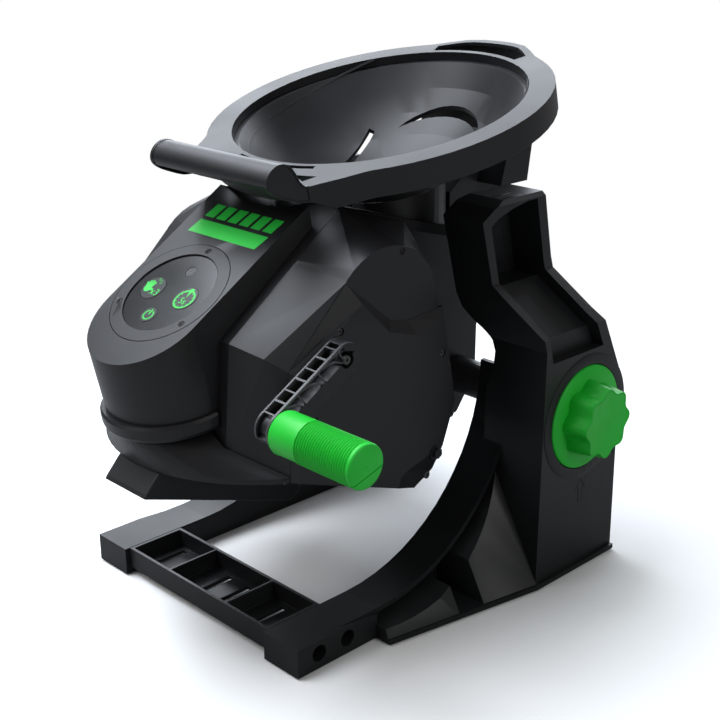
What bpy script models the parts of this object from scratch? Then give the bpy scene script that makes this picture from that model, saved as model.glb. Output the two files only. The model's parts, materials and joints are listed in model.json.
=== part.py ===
import math

import bmesh
import bpy
from mathutils import Matrix, Vector

for old in list(bpy.data.objects):
    bpy.data.objects.remove(old, do_unlink=True)

# Driving dimensions in millimetres, in the stand frame: X across, Y to the rear, Z up from the floor
MM = 0.001
GAP = 0.3
WALL = 3.0

FOOT_IN = 84.0
FOOT_OUT = 120.0
FOOT_TOP = 22.0
FRAME_OUT = 157.0
FRAME_REAR = 312.0
SPLAY = 0.187
ARM_R = 146.0
ARM_C = (80.0, FOOT_TOP + ARM_R)

TILT = (266.0, 130.0)
SHAFT_R = 15.0
BUSH_R = 20.0
SEAT_R = 46.3
SEAT_X = 149.0
FLANGE_R = 41.5
KNOB_R = 28.0
KNOB_X = 179.0

PANEL_TILT = math.radians(32.0)
PANEL_Z = 257.2
PANEL_HALF = 48.0
PANEL_NOSE = -26.0
PANEL_END = 95.0
COLUMN_LEAN = math.radians(12.5)
DIAL_V = -5.7
DIAL_R = 36.0
BEZEL_R = 46.0

CASE_HALF = 57.7
CASE_REAR = 164.7
BLOCK_IN = 58.0
BLOCK_OUT = 99.0
COVER_IN = BLOCK_OUT + GAP
COVER_OUT = 105.0
BOTTOM_SLOPE = -0.3726
BOTTOM_FRONT = (18.1, 137.6)
BOTTOM_REAR = (134.3, 94.3)
LAUNCH = (106.0, 231.0)
LOBE_R = 53.0
DECK = (203.0, 274.5)
DECK_SLOPE = -0.2867

BOWL_C = (196.6, 359.5)
BOWL_TILT = math.radians(14.0)
BOWL_R = 113.5
RIM_WIDE = 19.5
RIM_R = BOWL_R + RIM_WIDE
RIM_SWELL = 11.5
SKIRT = 20.0
SPHERE_Z = 64.6
SPHERE_IN = math.hypot(BOWL_R, SPHERE_Z)
SPHERE_OUT = SPHERE_IN + WALL

CRANK = (46.5, 223.0)
GRIP = (-11.0, 190.0)
ARM_X0 = 107.0
ARM_X1 = 122.0
GRIP_X1 = 198.0
PAWL = (22.0, 204.0)
MODULE = 2.0
PINION_TEETH = 16
DRIVE_TEETH = 44


def new_object(bm):
    bmesh.ops.remove_doubles(bm, verts=bm.verts, dist=0.000001)
    bmesh.ops.recalc_face_normals(bm, faces=bm.faces)
    mesh = bpy.data.meshes.new("piece")
    bm.to_mesh(mesh)
    bm.free()
    ob = bpy.data.objects.new("piece", mesh)
    bpy.context.scene.collection.objects.link(ob)
    return ob


def spot(axis, a, b, level):
    if axis == "x":
        return Vector((level, a, b)) * MM
    if axis == "y":
        return Vector((a, level, b)) * MM
    return Vector((a, b, level)) * MM


def loft(axis, first, low, second, high):
    bm = bmesh.new()
    lower = [bm.verts.new(spot(axis, a, b, low)) for a, b in first]
    upper = [bm.verts.new(spot(axis, a, b, high)) for a, b in second]
    bm.faces.new(lower)
    bm.faces.new(upper)
    count = len(lower)
    for i in range(count):
        j = (i + 1) % count
        bm.faces.new((lower[i], lower[j], upper[j], upper[i]))
    return new_object(bm)


def prism(axis, outline, low, high):
    return loft(axis, outline, low, outline, high)


def box(x0, x1, y0, y1, z0, z1):
    return prism("z", [(x0, y0), (x1, y0), (x1, y1), (x0, y1)], z0, z1)


def arc(centre, radius, start, end, steps):
    points = []
    for i in range(steps + 1):
        a = math.radians(start + (end - start) * i / steps)
        points.append((centre[0] + radius * math.cos(a), centre[1] + radius * math.sin(a)))
    return points


def circle(centre, radius, steps=32):
    return arc(centre, radius, 0.0, 360.0 - 360.0 / steps, steps - 1)


def strip(points, thickness):
    near = []
    far = []
    for i, (a, b) in enumerate(points):
        before = Vector(points[max(i - 1, 0)])
        after = Vector(points[min(i + 1, len(points) - 1)])
        along = (after - before).normalized()
        near.append((a, b))
        far.append((a - along.y * thickness, b + along.x * thickness))
    return near + far[::-1]


def turned(profile, origin, direction, steps=48, reach=None):
    bm = bmesh.new()
    turn = Vector((0, 0, 1)).rotation_difference(Vector(direction)).to_matrix()
    base = Vector(origin)
    rings = []
    for k, (radius, height) in enumerate(profile):
        if radius < 0.000001:
            ring = [bm.verts.new((base + turn @ Vector((0, 0, height))) * MM)]
        else:
            ring = []
            for i in range(steps):
                a = 2 * math.pi * i / steps
                r = radius if reach is None else reach(radius, a)
                local = Vector((r * math.cos(a), r * math.sin(a), height))
                ring.append(bm.verts.new((base + turn @ local) * MM))
        rings.append(ring)
    pairs = list(zip(rings, rings[1:]))
    if len(rings[0]) > 1 or len(rings[-1]) > 1:
        pairs.append((rings[-1], rings[0]))
    for one, two in pairs:
        for i in range(steps):
            j = (i + 1) % steps
            if len(one) == 1 and len(two) == 1:
                continue
            if len(one) == 1:
                bm.faces.new((one[0], two[i], two[j]))
            elif len(two) == 1:
                bm.faces.new((one[i], one[j], two[0]))
            else:
                bm.faces.new((one[i], one[j], two[j], two[i]))
    return new_object(bm)


def rod(axis, centre, radius, low, high, steps=24):
    return prism(axis, circle(centre, radius, steps), low, high)


def tube(axis, centre, outer, inner, low, high, steps=32):
    ring = rod(axis, centre, outer, low, high, steps)
    return cut(ring, rod(axis, centre, inner, low - 1, high + 1, steps))


def hull(points):
    bm = bmesh.new()
    for p in points:
        bm.verts.new(Vector(p) * MM)
    result = bmesh.ops.convex_hull(bm, input=bm.verts)
    loose = [v for v in bm.verts if not v.link_faces]
    bmesh.ops.delete(bm, geom=loose, context="VERTS")
    return new_object(bm)


def combine(ob, others, operation):
    for other in others:
        modifier = ob.modifiers.new("Fit", "BOOLEAN")
        modifier.operation = operation
        modifier.solver = "EXACT"
        modifier.object = other
        depsgraph = bpy.context.evaluated_depsgraph_get()
        mesh = bpy.data.meshes.new_from_object(ob.evaluated_get(depsgraph))
        ob.modifiers.clear()
        ob.data = mesh
        bpy.data.objects.remove(other, do_unlink=True)
    return ob


def join(ob, *others):
    return combine(ob, others, "UNION")


def cut(ob, *others):
    return combine(ob, others, "DIFFERENCE")


def common(ob, *others):
    return combine(ob, others, "INTERSECT")


def copy_of(ob, mirror=False):
    twin = bpy.data.objects.new("piece", ob.data.copy())
    bpy.context.scene.collection.objects.link(twin)
    if mirror:
        twin.data.transform(Matrix.Scale(-1, 4, Vector((1, 0, 0))))
        twin.data.flip_normals()
    return twin


def moved(ob, matrix):
    ob.data.transform(matrix)
    return ob


def merged(objects):
    bm = bmesh.new()
    for ob in objects:
        bm.from_mesh(ob.data)
        bpy.data.objects.remove(ob, do_unlink=True)
    return new_object(bm)


def material(name, colour, roughness, metallic=0.0):
    mat = bpy.data.materials.new(name)
    mat.use_nodes = True
    shader = mat.node_tree.nodes["Principled BSDF"]
    shader.inputs["Base Color"].default_value = (*colour, 1.0)
    shader.inputs["Roughness"].default_value = roughness
    shader.inputs["Metallic"].default_value = metallic
    mat.diffuse_color = (*colour, 1.0)
    return mat


for_origin = {}
BLACK = (0.022, 0.024, 0.026)
CHARCOAL = (0.035, 0.038, 0.04)
GREEN = (0.02, 0.62, 0.06)
STEEL = (0.55, 0.56, 0.58)
BRASS = (0.62, 0.45, 0.16)


def empty_at(name, point, parent=None):
    ob = bpy.data.objects.new(name, None)
    bpy.context.scene.collection.objects.link(ob)
    ob.empty_display_size = 0.01
    here = Vector(point) * MM
    for_origin[name] = here
    if parent is not None:
        ob.parent = parent
        ob.location = here - for_origin[parent.name]
    else:
        ob.location = here
    return ob


def place(ob, name, parent, pivot, colour, roughness=0.5, metallic=0.0, sharp=30.0):
    ob.name = name
    ob.data.name = name
    here = Vector(pivot) * MM
    ob.data.transform(Matrix.Translation(-here))
    ob.parent = parent
    ob.location = here - for_origin[parent.name]
    ob.data.materials.clear()
    ob.data.materials.append(material(name + "_finish", colour, roughness, metallic))
    bm = bmesh.new()
    bm.from_mesh(ob.data)
    bmesh.ops.remove_doubles(bm, verts=bm.verts, dist=0.00001)
    bmesh.ops.dissolve_degenerate(bm, edges=bm.edges, dist=0.00001)
    bm.to_mesh(ob.data)
    bm.free()
    ob.data.shade_smooth()
    ob.data.set_sharp_from_angle(angle=math.radians(sharp))
    return ob


def panel_point(x, v, lift=0.0):
    s = math.sin(PANEL_TILT)
    c = math.cos(PANEL_TILT)
    return Vector((x, v * c - lift * s, PANEL_Z + v * s + lift * c))


PANEL_FRAME = Matrix.Translation(Vector((0, 0, PANEL_Z)) * MM) @ Matrix.Rotation(PANEL_TILT, 4, "X")
BOWL_FRAME = Matrix.Translation(Vector((0, BOWL_C[0], BOWL_C[1])) * MM) @ Matrix.Rotation(BOWL_TILT, 4, "X")


def gear(teeth, centre, low, high, bore, phase):
    pitch = MODULE * teeth / 2
    half = math.pi / (2 * teeth) * 0.90
    outline = []
    for i in range(teeth):
        mid = phase + 2 * math.pi * i / teeth
        root_r = pitch - 1.25 * MODULE
        tip_r = pitch + 0.95 * MODULE
        for r, spread in ((root_r, -1.6), (tip_r, -0.45), (tip_r, 0.45), (root_r, 1.6)):
            a = mid + half * spread
            outline.append((centre[0] + r * math.cos(a), centre[1] + r * math.sin(a)))
    wheel = prism("x", outline, low, high)
    return cut(wheel, rod("x", centre, bore, low - 1, high + 1, 24))


def spring(centre, radius, wire, low, high, turns):
    bm = bmesh.new()
    rings = []
    count = turns * 8
    for i in range(count + 1):
        a = 2 * math.pi * i / 8
        x = low + (high - low) * i / count
        ring = []
        for k in range(5):
            t = 2 * math.pi * k / 5
            r = radius + wire * math.cos(t)
            spot_ = Vector((x + wire * math.sin(t), centre[0] + r * math.cos(a), centre[1] + r * math.sin(a)))
            ring.append(bm.verts.new(spot_ * MM))
        rings.append(ring)
    for one, two in zip(rings, rings[1:]):
        for k in range(5):
            j = (k + 1) % 5
            bm.faces.new((one[k], one[j], two[j], two[k]))
    bm.faces.new(rings[0])
    bm.faces.new(rings[-1])
    return new_object(bm)


root = empty_at("soccer_ball_launcher", (0, 0, 0))
stand = empty_at("stand_pivot", (0, 0, 0), root)
head = empty_at("head_pivot", (0, TILT[0], TILT[1]), root)
crank = empty_at("crank_pivot", (ARM_X0, CRANK[0], CRANK[1]), head)
grip = empty_at("grip_pivot", (ARM_X1, GRIP[0], GRIP[1]), crank)
drive = empty_at("drive_pivot", (0, LAUNCH[0], LAUNCH[1]), head)
kicker = empty_at("kicker_pivot", (0, LAUNCH[0], LAUNCH[1]), head)
knob = empty_at("knob_pivot", (SEAT_X, TILT[0], TILT[1]), root)


# Stand side frames
def lean_x(y, z):
    return FOOT_OUT + SPLAY * y - 0.55 * z


def ring_z(y, radius):
    return ARM_C[1] - math.sqrt(radius * radius - (y - ARM_C[0]) ** 2)


SIDE = [(214, 0), (214, 194), (201.8, 231), (186.5, 288.7)]
SIDE += [(200, 297), (218, 303), (238, 306), (256, 306)]
SIDE += [(267.8, 249.5), (280, 213), (309, 156), (FRAME_REAR, 0)]
FRONT = [(FRAME_OUT, 0), (FRAME_OUT, 204), (115, 240), (115, 298), (112, 301), (80, 301), (77, 298)]
FRONT += [(77, 225), (80, 214), (88, 206), (98, 199), (105, 192), (108, 184), (107, 172), (100, 150)]
FRONT += [(100, 60), (92, 44), (84, 30), (84, 0)]


def side_frame():
    edge = [(0, FOOT_TOP), (ARM_C[0], FOOT_TOP)] + arc(ARM_C, ARM_R, -84, 0, 14)
    body = prism("x", edge + [(ARM_C[0] + ARM_R, 0), (0, 0)], FOOT_IN, 100)
    under = arc(ARM_C, ARM_R + 4, 0, -90, 14) + [(0, FOOT_TOP - 4)]
    flange = prism("x", edge + under, FOOT_IN, 117)
    foot = prism("z", [(84, 0), (120, 0), (120, 77), (84, 77)], 0, FOOT_TOP)
    foot = common(foot, prism("x", [(0, 0), (0, 22), (40, 22), (80, 19), (80, 0)], 80, 160))
    plate = prism("z", [(84, 0), (120, 0), (120, 76), (134.2, 76), (160, 214), (160, 312), (84, 312)], 0, 4)
    blocks = []
    for y0, y1 in ((76.0, 140.0), (163.0, 214.5)):
        top = [y0 + (y1 - y0) * i / 5 for i in range(6)]
        lower = [(y, 0.0) for y in (y1, y0)]
        outline = [(y, ring_z(y, ARM_R + 11)) for y in top] + lower
        slab = prism("x", outline, 90, 165)
        wedge = hull([
            (90, y0 - 1, -1), (90, y1 + 1, -1), (lean_x(y0, -1), y0, -1), (lean_x(y1, -1), y1, -1),
            (90, y0 - 1, 100), (90, y1 + 1, 100), (lean_x(y0, 100), y0, 100), (lean_x(y1, 100), y1, 100),
        ])
        blocks.append(common(slab, wedge))
    upright = common(prism("y", FRONT, 180, 330), prism("x", SIDE, 70, 170))
    rim = rod("x", TILT, 47.2, 120, FRAME_OUT, 48)
    body = join(body, flange, foot, plate, *blocks, upright, rim)
    inset = [(222, 184), (209, 233), (196, 284), (204, 289), (220, 294), (238, 297), (248, 297)]
    inset += [(259, 247), (271, 210), (284, 184)]
    recess = [(175, 176), (147, 176), (147, 200), (107, 234), (85, 234), (85, 320), (175, 320)]
    pocket = common(prism("y", recess, 190, 300), prism("x", inset, 70, 175))
    hollow = common(
        prism("y", [(152, -1), (152, 168), (113, 168), (104.5, 149), (104.5, 58), (96, 44), (96, -1)], 200, 310),
        prism("x", [(219, -1), (219, 168), (297, 168), (304, 154), (306, -1)], 70, 170),
    )
    hollow = cut(hollow, rod("x", TILT, 26, 90, 160, 24))
    hollow = cut(hollow, rod("x", TILT, SEAT_R + 3, SEAT_X - 3.5, 160, 32))
    channel = [(6, -2), (6, 18), (80, 18)] + arc(ARM_C, ARM_R + 4, -84, -28, 8) + [(ARM_C[0] + 0.9075 * ARM_R, -2)]
    channel = prism("x", channel, 88, 95.5)
    seat = rod("x", TILT, SEAT_R, SEAT_X, 170, 48)
    bore = rod("x", TILT, BUSH_R + GAP, 60, 170, 28)
    holes = [rod("x", (y, z), 6.5, 105, 140, 16) for y, z in ((20, 12), (47.3, 12.3))]
    body = cut(body, pocket, hollow, channel, bore, *holes)
    return body, seat


right_frame, seat = side_frame()
left_frame = copy_of(right_frame, True)
right_frame = cut(right_frame, seat)
cap_seat = rod("x", TILT, BUSH_R + 6 + GAP, -170, -153, 28)
left_frame = cut(left_frame, cap_seat)
place(right_frame, "right_side_frame", stand, (0, 0, 0), BLACK, 0.55)
place(left_frame, "left_side_frame", stand, (0, 0, 0), BLACK, 0.55)

# Front tray between the feet
tray = box(-83.7, 83.7, 4, 54, 5, 22)
for x0, x1 in ((-80.7, -35.2), (-32.8, 32.8), (35.2, 80.7)):
    tray = cut(tray, box(x0, x1, 7, 51, 8, 30))
slots = [box(x - 2.5, x + 2.5, 19, 48, 0, 12) for x in (-70, -52, -11, 11, 52, 70)]
tray = cut(tray, *slots)
place(tray, "front_tray", stand, (0, 0, 0), BLACK, 0.55)

for side, name in ((1, "right_foot_pad"), (-1, "left_foot_pad")):
    outline = arc((side * 93, 18), 5, 180, 360, 8) + arc((side * 93, 296), 5, 0, 180, 8)
    place(prism("z", outline, -1.2, -GAP), name, stand, (side * 93, 150, 0), (0.01, 0.01, 0.01), 0.9)

for side, name in ((1, "right_bushing"), (-1, "left_bushing")):
    low, high = sorted((side * 99.0, side * 148.4))
    bush = tube("x", TILT, BUSH_R, SHAFT_R + GAP, low, high, 28)
    low, high = sorted((side * 95.4, side * 99.7))
    bush = join(bush, tube("x", TILT, 25, SHAFT_R + GAP, low, high, 28))
    place(bush, name, stand, (0, TILT[0], TILT[1]), (0.3, 0.3, 0.31), 0.5)

cap = rod("x", TILT, BUSH_R + 6, -158.5, -153.3, 28)
cap = join(cap, rod("x", TILT, 11, -154, -149, 24))
place(cap, "left_pivot_cap", stand, (-153, TILT[0], TILT[1]), BLACK, 0.5)

# Tilt shaft, scale ring, knob
shaft = tube("x", TILT, SHAFT_R, 12, -147.5, 152.4, 28)
place(shaft, "tilt_shaft", head, (0, TILT[0], TILT[1]), (0.16, 0.16, 0.165), 0.4, 0.5)
scale = turned([
    (SHAFT_R + GAP, SEAT_X + GAP), (46, SEAT_X + GAP), (46, FRAME_OUT), (FLANGE_R + GAP, FRAME_OUT),
    (FLANGE_R + GAP, 152.4), (SHAFT_R + GAP, 152.4),
], (0, TILT[0], TILT[1]), (1, 0, 0), 48)
place(scale, "scale_ring", head, (SEAT_X, TILT[0], TILT[1]), BLACK, 0.5)


def lobes(radius, depth, count, steps):
    points = []
    for i in range(count * steps):
        a = 2 * math.pi * i / (count * steps)
        r = radius - depth * (0.5 - 0.5 * math.cos(count * a)) ** 1.6
        points.append((TILT[0] + r * math.cos(a), TILT[1] + r * math.sin(a)))
    return points


dial = rod("x", TILT, FLANGE_R, 152.8, 158.6, 48)
dial = join(dial, loft("x", lobes(31, 4.5, 8, 6), 158.0, lobes(KNOB_R, 4.5, 8, 6), KNOB_X))
dial = cut(dial, rod("x", TILT, 5 + GAP, 140, 172, 24))
place(dial, "clamp_knob", knob, (SEAT_X, TILT[0], TILT[1]), GREEN, 0.45)
bolt = rod("x", TILT, 5, 96, 171, 24)
bolt = join(bolt, rod("x", TILT, 9, 90, 97, 6))
place(bolt, "clamp_bolt", knob, (SEAT_X, TILT[0], TILT[1]), STEEL, 0.3, 1.0)

# Control column and central case
nose = [panel_point(PANEL_HALF * math.cos(a), PANEL_NOSE - PANEL_HALF * math.sin(a))
        for a in [math.pi * i / 24 for i in range(25)]]
top_ring = nose + [panel_point(-PANEL_HALF, PANEL_END), panel_point(PANEL_HALF, PANEL_END)]
run = Vector((0, math.sin(COLUMN_LEAN), -math.cos(COLUMN_LEAN))) * 105


def sweep_down(ring, start, finish):
    bm = bmesh.new()
    upper = [bm.verts.new((p + run * start) * MM) for p in ring]
    lower = [bm.verts.new((p + run * finish) * MM) for p in ring]
    bm.faces.new(upper)
    bm.faces.new(lower)
    for i in range(len(ring)):
        j = (i + 1) % len(ring)
        bm.faces.new((upper[i], upper[j], lower[j], lower[i]))
    return new_object(bm)


COLLAR = Vector((0, -5, 175.5))
COLLAR_UP = Vector((0, -math.sin(math.radians(10)), math.cos(math.radians(10))))
column = sweep_down(top_ring, 0.0, 1.0)
floor_cut = prism("x", [(-120, 152), (-5, 168.5), (140, 194), (140, 60), (-120, 60)], -70, 70)
column = cut(column, floor_cut)
deck_z = lambda y: DECK[1] + DECK_SLOPE * (y - DECK[0])
block = prism("x", [
    (-8, 141), (-1, 230), (99.6, 304.1), (CASE_REAR, deck_z(CASE_REAR)), (CASE_REAR, 118),
    (152, 107), (134.3, 97.9), (18.1, 141),
], -CASE_HALF, CASE_HALF)
deck = prism("x", [
    (160, deck_z(160)), (250, deck_z(250)), (250, deck_z(250) - 8), (160, deck_z(160) - 8),
], -50, 50)
case = join(block, column, deck)
case = cut(case, prism("x", [
    (-4, 130), (2, 226), (40, 254), (98, 296), (161, 278), (161, 80), (134, 80),
], -CASE_HALF + WALL, CASE_HALF - WALL))
collar = turned([(46, -6), (50.5, -6), (52, -3), (52, 4), (50.5, 6), (46, 6)],
                COLLAR, COLLAR_UP, 40)
collar = cut(collar, box(-60, 60, -7, 80, 120, 260))
case = join(case, collar)
well = rod("z", (0, DIAL_V), BEZEL_R + GAP, -3, 10, 48)
well = join(well, rod("z", (0, DIAL_V), 35, -16, 0, 32))
case = cut(case, moved(well, PANEL_FRAME))
bore = [panel_point(44 * math.cos(a), PANEL_NOSE - 44 * math.sin(a))
        for a in [math.pi * i / 16 for i in range(17)]]
bore += [panel_point(-44, 84), panel_point(44, 84)]
case = cut(case, sweep_down(bore, 0.21, 1.3))
case = cut(case, rod("z", (0, 203), 40, 240, 290, 40))
case = cut(case, box(-11, 11, 138, 182, 225, 300))
for side in (-1, 1):
    low, high = sorted((side * (CASE_HALF - 2 * WALL), side * (CASE_HALF + WALL)))
    case = cut(case, rod("x", LAUNCH, 14, low, high, 32), rod("x", CRANK, 12, low, high, 24))
place(case, "main_case", head, (0, 0, 200), CHARCOAL, 0.5)

glass = rod("z", (0, DIAL_V), DIAL_R, -2.7, -1, 48)
KEYS = {"clap_key": (-18, -6.5, 10), "timer_key": (17.5, -6.3, 10), "power_key": (0, -27.5, 6.5)}
for x, v, r in KEYS.values():
    glass = cut(glass, rod("z", (x, v), r + GAP, -5, 5, 24))
glass = cut(glass, rod("z", (0, 16), 4 + GAP, -5, 5, 24))
place(moved(glass, PANEL_FRAME), "panel_glass", head, panel_point(0, DIAL_V), (0.012, 0.013, 0.014), 0.12)
bezel = tube("z", (0, DIAL_V), BEZEL_R, DIAL_R + GAP, -2.7, 0.2, 48)
screw_at = []
for degrees in (90, 210, 330):
    a = math.radians(degrees)
    screw_at.append((40.8 * math.cos(a), DIAL_V + 40.8 * math.sin(a)))
for point in screw_at:
    bezel = cut(bezel, rod("z", point, 2.3, -1.2, 3, 10))
place(moved(bezel, PANEL_FRAME), "bezel_ring", head, panel_point(0, DIAL_V), BLACK, 0.45)
for name, point in zip(("bezel_screw_top", "bezel_screw_left", "bezel_screw_right"), screw_at):
    pin = moved(rod("z", point, 2.0, -0.9, 0.1, 10), PANEL_FRAME)
    place(pin, name, head, panel_point(*point), STEEL, 0.35, 1.0)
board = rod("z", (0, DIAL_V), 33, -11, -9.4, 40)
board = join(board, box(-20, -8, -12, 0, -9.6, -7.5), box(10, 24, -12, 2, -9.6, -7.5))
place(moved(board, PANEL_FRAME), "circuit_board", head, panel_point(0, DIAL_V, -10), (0.02, 0.16, 0.06), 0.5)
mic = rod("z", (0, 16), 4, -8.6, -1.4, 24)
place(moved(mic, PANEL_FRAME), "microphone", head, panel_point(0, 16), STEEL, 0.4, 0.8)
for name, (x, v, r) in KEYS.items():
    key = rod("z", (x, v), r, -4.5, -0.7, 24)
    if r < 8:
        key = join(key, rod("z", (x, v), 3, -7, -4, 16))
    pivot = empty_at(name + "_pivot", panel_point(x, v, -2.0), head)
    place(moved(key, PANEL_FRAME), name, pivot, panel_point(x, v, -2.0), (0.014, 0.016, 0.017), 0.25)

# Side cases and covers
COVER = [(18, 213.7), (76.7, 251.1), (103.3, 224.5), (131.1, 216), (159.8, 220.4)]
COVER += [(173.1, 154.7), (153.7, 103.8), BOTTOM_REAR, BOTTOM_FRONT]
COVER_FOOT = [(14.8, 216.6), (66.8, 265.9), (109.3, 230.8), (127, 226.7), (163, 229)]
COVER_FOOT += [(174, 154.7), (153.7, 103.8), BOTTOM_REAR, (14.8, 137.6)]


def side_block():
    front = hull([
        (58, -8, 141), (58, -1, 230), (58, 99.6, 304), (58, 134, 98), (99, 14.8, 141),
        (99, 14.8, 216.6), (84.6, 6.5, 224), (99, 66.5, 266.3), (99, 134, 98),
    ])
    rear = prism("x", [
        (66.5, 266.3), (109.3, 230.8), (127, 226.7), (163, 229), (174, 154.7), (153.7, 107),
        (134.3, 97.9), (60, 125),
    ], BLOCK_IN, BLOCK_OUT)
    lobe = hull([(BLOCK_OUT, y, z) for y, z in circle(LAUNCH, LOBE_R, 40)] + [
        (BLOCK_IN, 60, 275), (BLOCK_IN, 99.6, 304), (BLOCK_IN, 164.4, 285.2), (BLOCK_IN, 164.4, 200), (BLOCK_IN, 60, 200),
    ])
    under = prism("x", [(-20, 141), (18.1, 141), (134.3, 97.9), (134.3, 50), (-20, 50)], 50, 110)
    return cut(join(front, rear, lobe), under)


def side_hollow():
    front = hull([
        (57, -3, 130), (57, 3, 227), (57, 98, 297), (57, 130, 90), (94, 18, 130),
        (94, 18, 212), (82, 11, 218), (94, 66, 260), (94, 130, 90),
    ])
    rear = prism("x", [
        (70, 258), (106, 226), (128, 222), (159, 224), (169.5, 155), (150, 108),
        (133, 90), (60, 110),
    ], 57, 94)
    lobe = hull([(94, y, z) for y, z in circle(LAUNCH, LOBE_R - 3.5, 20)] + [
        (57, 66, 270), (57, 98, 297), (57, 160.5, 279), (57, 160.5, 205), (57, 66, 205),
    ])
    return join(front, rear, lobe)


def side_cover():
    cover = loft("x", COVER_FOOT, COVER_IN, COVER, COVER_OUT)
    wedge = hull([
        (106, 112.8, 115.0), (106, 165.6, 127.6), (106, 180, 80), (106, 100, 80),
        (100.5, 134, 90), (100.5, 156, 102), (100.5, 140, 80),
    ])
    cover = cut(cover, wedge)
    cover = cut(cover, rod("x", CRANK, 5 + GAP, 90, 110, 24))
    return cover


SCREWS = [(56.7, 236), (158.5, 195.5), (171.0, 144), (147.2, 100.8), (32.4, 179.2), (27, 150)]
block = side_block()
block = cut(block, side_hollow(), rod("x", LAUNCH, 6 + GAP, 90, 97, 24))
for y, z in SCREWS[:1] + SCREWS[4:]:
    block = join(block, rod("x", (y, z), 4, 88, BLOCK_OUT, 10))
left_block = copy_of(block, True)
block = cut(block, rod("x", CRANK, 5 + GAP, 80, 110, 24))
block = join(block, rod("x", PAWL, 1.7, 77, 96, 12))
place(block, "right_side_case", head, (80, 90, 200), CHARCOAL, 0.5)
place(left_block, "left_side_case", head, (-80, 90, 200), CHARCOAL, 0.5)
cover = side_cover()
for y, z in SCREWS:
    cover = cut(cover, rod("x", (y, z), 2.9, COVER_OUT - 3.6, 110, 10))
left_cover = copy_of(cover, True)
place(cover, "right_side_cover", head, (102, 90, 180), CHARCOAL, 0.45)
place(left_cover, "left_side_cover", head, (-102, 90, 180), CHARCOAL, 0.45)
for i, (y, z) in enumerate(SCREWS[:5]):
    pin = rod("x", (y, z), 2.5, COVER_OUT - 3.3, COVER_OUT - 1.2, 10)
    place(pin, "cover_screw_" + str(i + 1), head, (COVER_OUT, y, z), STEEL, 0.35, 1.0)

# Base pan with apron
ring_low = []
ring_hollow = []
for i in range(25):
    a = math.pi + math.pi * i / 24
    ring_low.append((45 * math.cos(a), -4 + 45 * math.sin(a), 166 + 0.17 * 45 * math.sin(a)))
    ring_hollow.append((41 * math.cos(a), -4 + 41 * math.sin(a), 162 + 0.17 * 41 * math.sin(a)))
edge_low = []
edge_hollow = []
for i in range(25):
    a = math.radians(-150.0 + 120.0 * i / 24)
    edge_low.append((118 * math.cos(a), 77 + 118 * math.sin(a), 137.5))
    edge_hollow.append((113.5 * math.cos(a), 77 + 113.5 * math.sin(a), 140.7))
edge_lift = [(x, y, 141.5) for x, y, z in edge_low]
apron = hull(ring_low + edge_low + edge_lift + [(x, 18, 137.5) for x in (-99, 99)])
apron = cut(apron, hull(ring_hollow + edge_hollow + [(x, 24, 140.7) for x in (-92, 92)]))
clear = join(
    prism("z", [(-58.4, -8.5), (58.4, -8.5), (99.4, 14.3), (99.4, 90), (-99.4, 90), (-99.4, 14.3)], 140.7, 200),
    box(-58, 58, -8.5, 60, 140.7, 300),
)
apron = cut(apron, clear)
apron = cut(apron, sweep_down(top_ring, 0.0, 0.52))
apron = cut(apron, prism("x", [(-120, 153 + 2.2), (-5, 168.2), (140, 193.7), (140, 300), (-120, 300)], -130, 130))
apron = cut(apron, prism("y", [(99.0, 100), (99.0, 200), (140, 200), (140, 100)], -60, 60))
apron = cut(apron, prism("y", [(-99.0, 100), (-99.0, 200), (-140, 200), (-140, 100)], -60, 60))
floor = prism("x", [
    (10, 137.5), (18.1, 137.5), (134.3, 94.2), (151, 102.4), (150, 105.2), (134.3, 97.6), (18.1, 140.6), (10, 140.6),
], -99.0, 99.0)
pan = join(apron, floor)
pan = cut(pan, box(-20, 20, -10, 60, 100, 139))
place(pan, "base_pan", head, (0, 60, 130), CHARCOAL, 0.55)

keel = prism("x", [
    (-52, 121), (-50, 124), (-38, 137.1), (18.1, 137.1), (86, 111.8), (92, 104), (93, 92), (88, 80), (80, 75),
], -24, 24)
keel = cut(keel, prism("x", [
    (-44, 121), (-36, 134), (17, 140), (82, 116), (88, 104), (89, 93), (85, 83), (78, 79), (70, 82),
], -21, 21))
keel = cut(keel, prism("x", [(-30, 106), (-30, 125), (60, 93), (60, 70)], -17.3, 17.3))
place(keel, "battery_box", head, (0, 20, 110), BLACK, 0.55)
door = prism("x", [(-29.7, 113.3), (-29.7, 116.3), (59.7, 85.2), (59.7, 82.2)], -17, 17)
place(door, "battery_door", head, (0, 20, 100), BLACK, 0.6)
slope = math.atan(-0.349)
axis = Vector((0, math.cos(slope), math.sin(slope)))
start = Vector((0, -22, 121.5))
batteries = []
for x in (-8.0, 8.0):
    body = turned([(0, 0), (7, 0), (7, 49), (2.7, 49), (2.7, 50.5), (0, 50.5)], start + Vector((x, 0, 0)), axis, 24)
    batteries.append(body)
pack = join(batteries[0], batteries[1])
pack = join(pack, hull([(x, y, z + h) for x in (-6, 6) for y, z in ((-10, 117.3), (10, 110.3)) for h in (-5, -1)]))
place(pack, "batteries", head, start, (0.35, 0.36, 0.38), 0.4, 0.3)

# Ball bowl
SWELL_IN = math.radians(8.0)
SWELL_OUT = math.radians(25.9)


def rim_reach(angle):
    off = abs((angle - math.pi / 2 + math.pi) % (2 * math.pi) - math.pi)
    t = (SWELL_OUT - off) / (SWELL_OUT - SWELL_IN)
    t = min(max(t, 0.0), 1.0)
    return RIM_R + RIM_SWELL * t * t * (3 - 2 * t)


def bowl_reach(radius, angle):
    if radius > RIM_R - WALL - 1:
        return radius + rim_reach(angle) - RIM_R
    return radius


def sphere_line(radius, top, count):
    last = math.acos((SPHERE_Z - top) / radius)
    return [(radius * math.sin(last * i / count), SPHERE_Z - radius * math.cos(last * i / count))
            for i in range(count + 1)]


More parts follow.
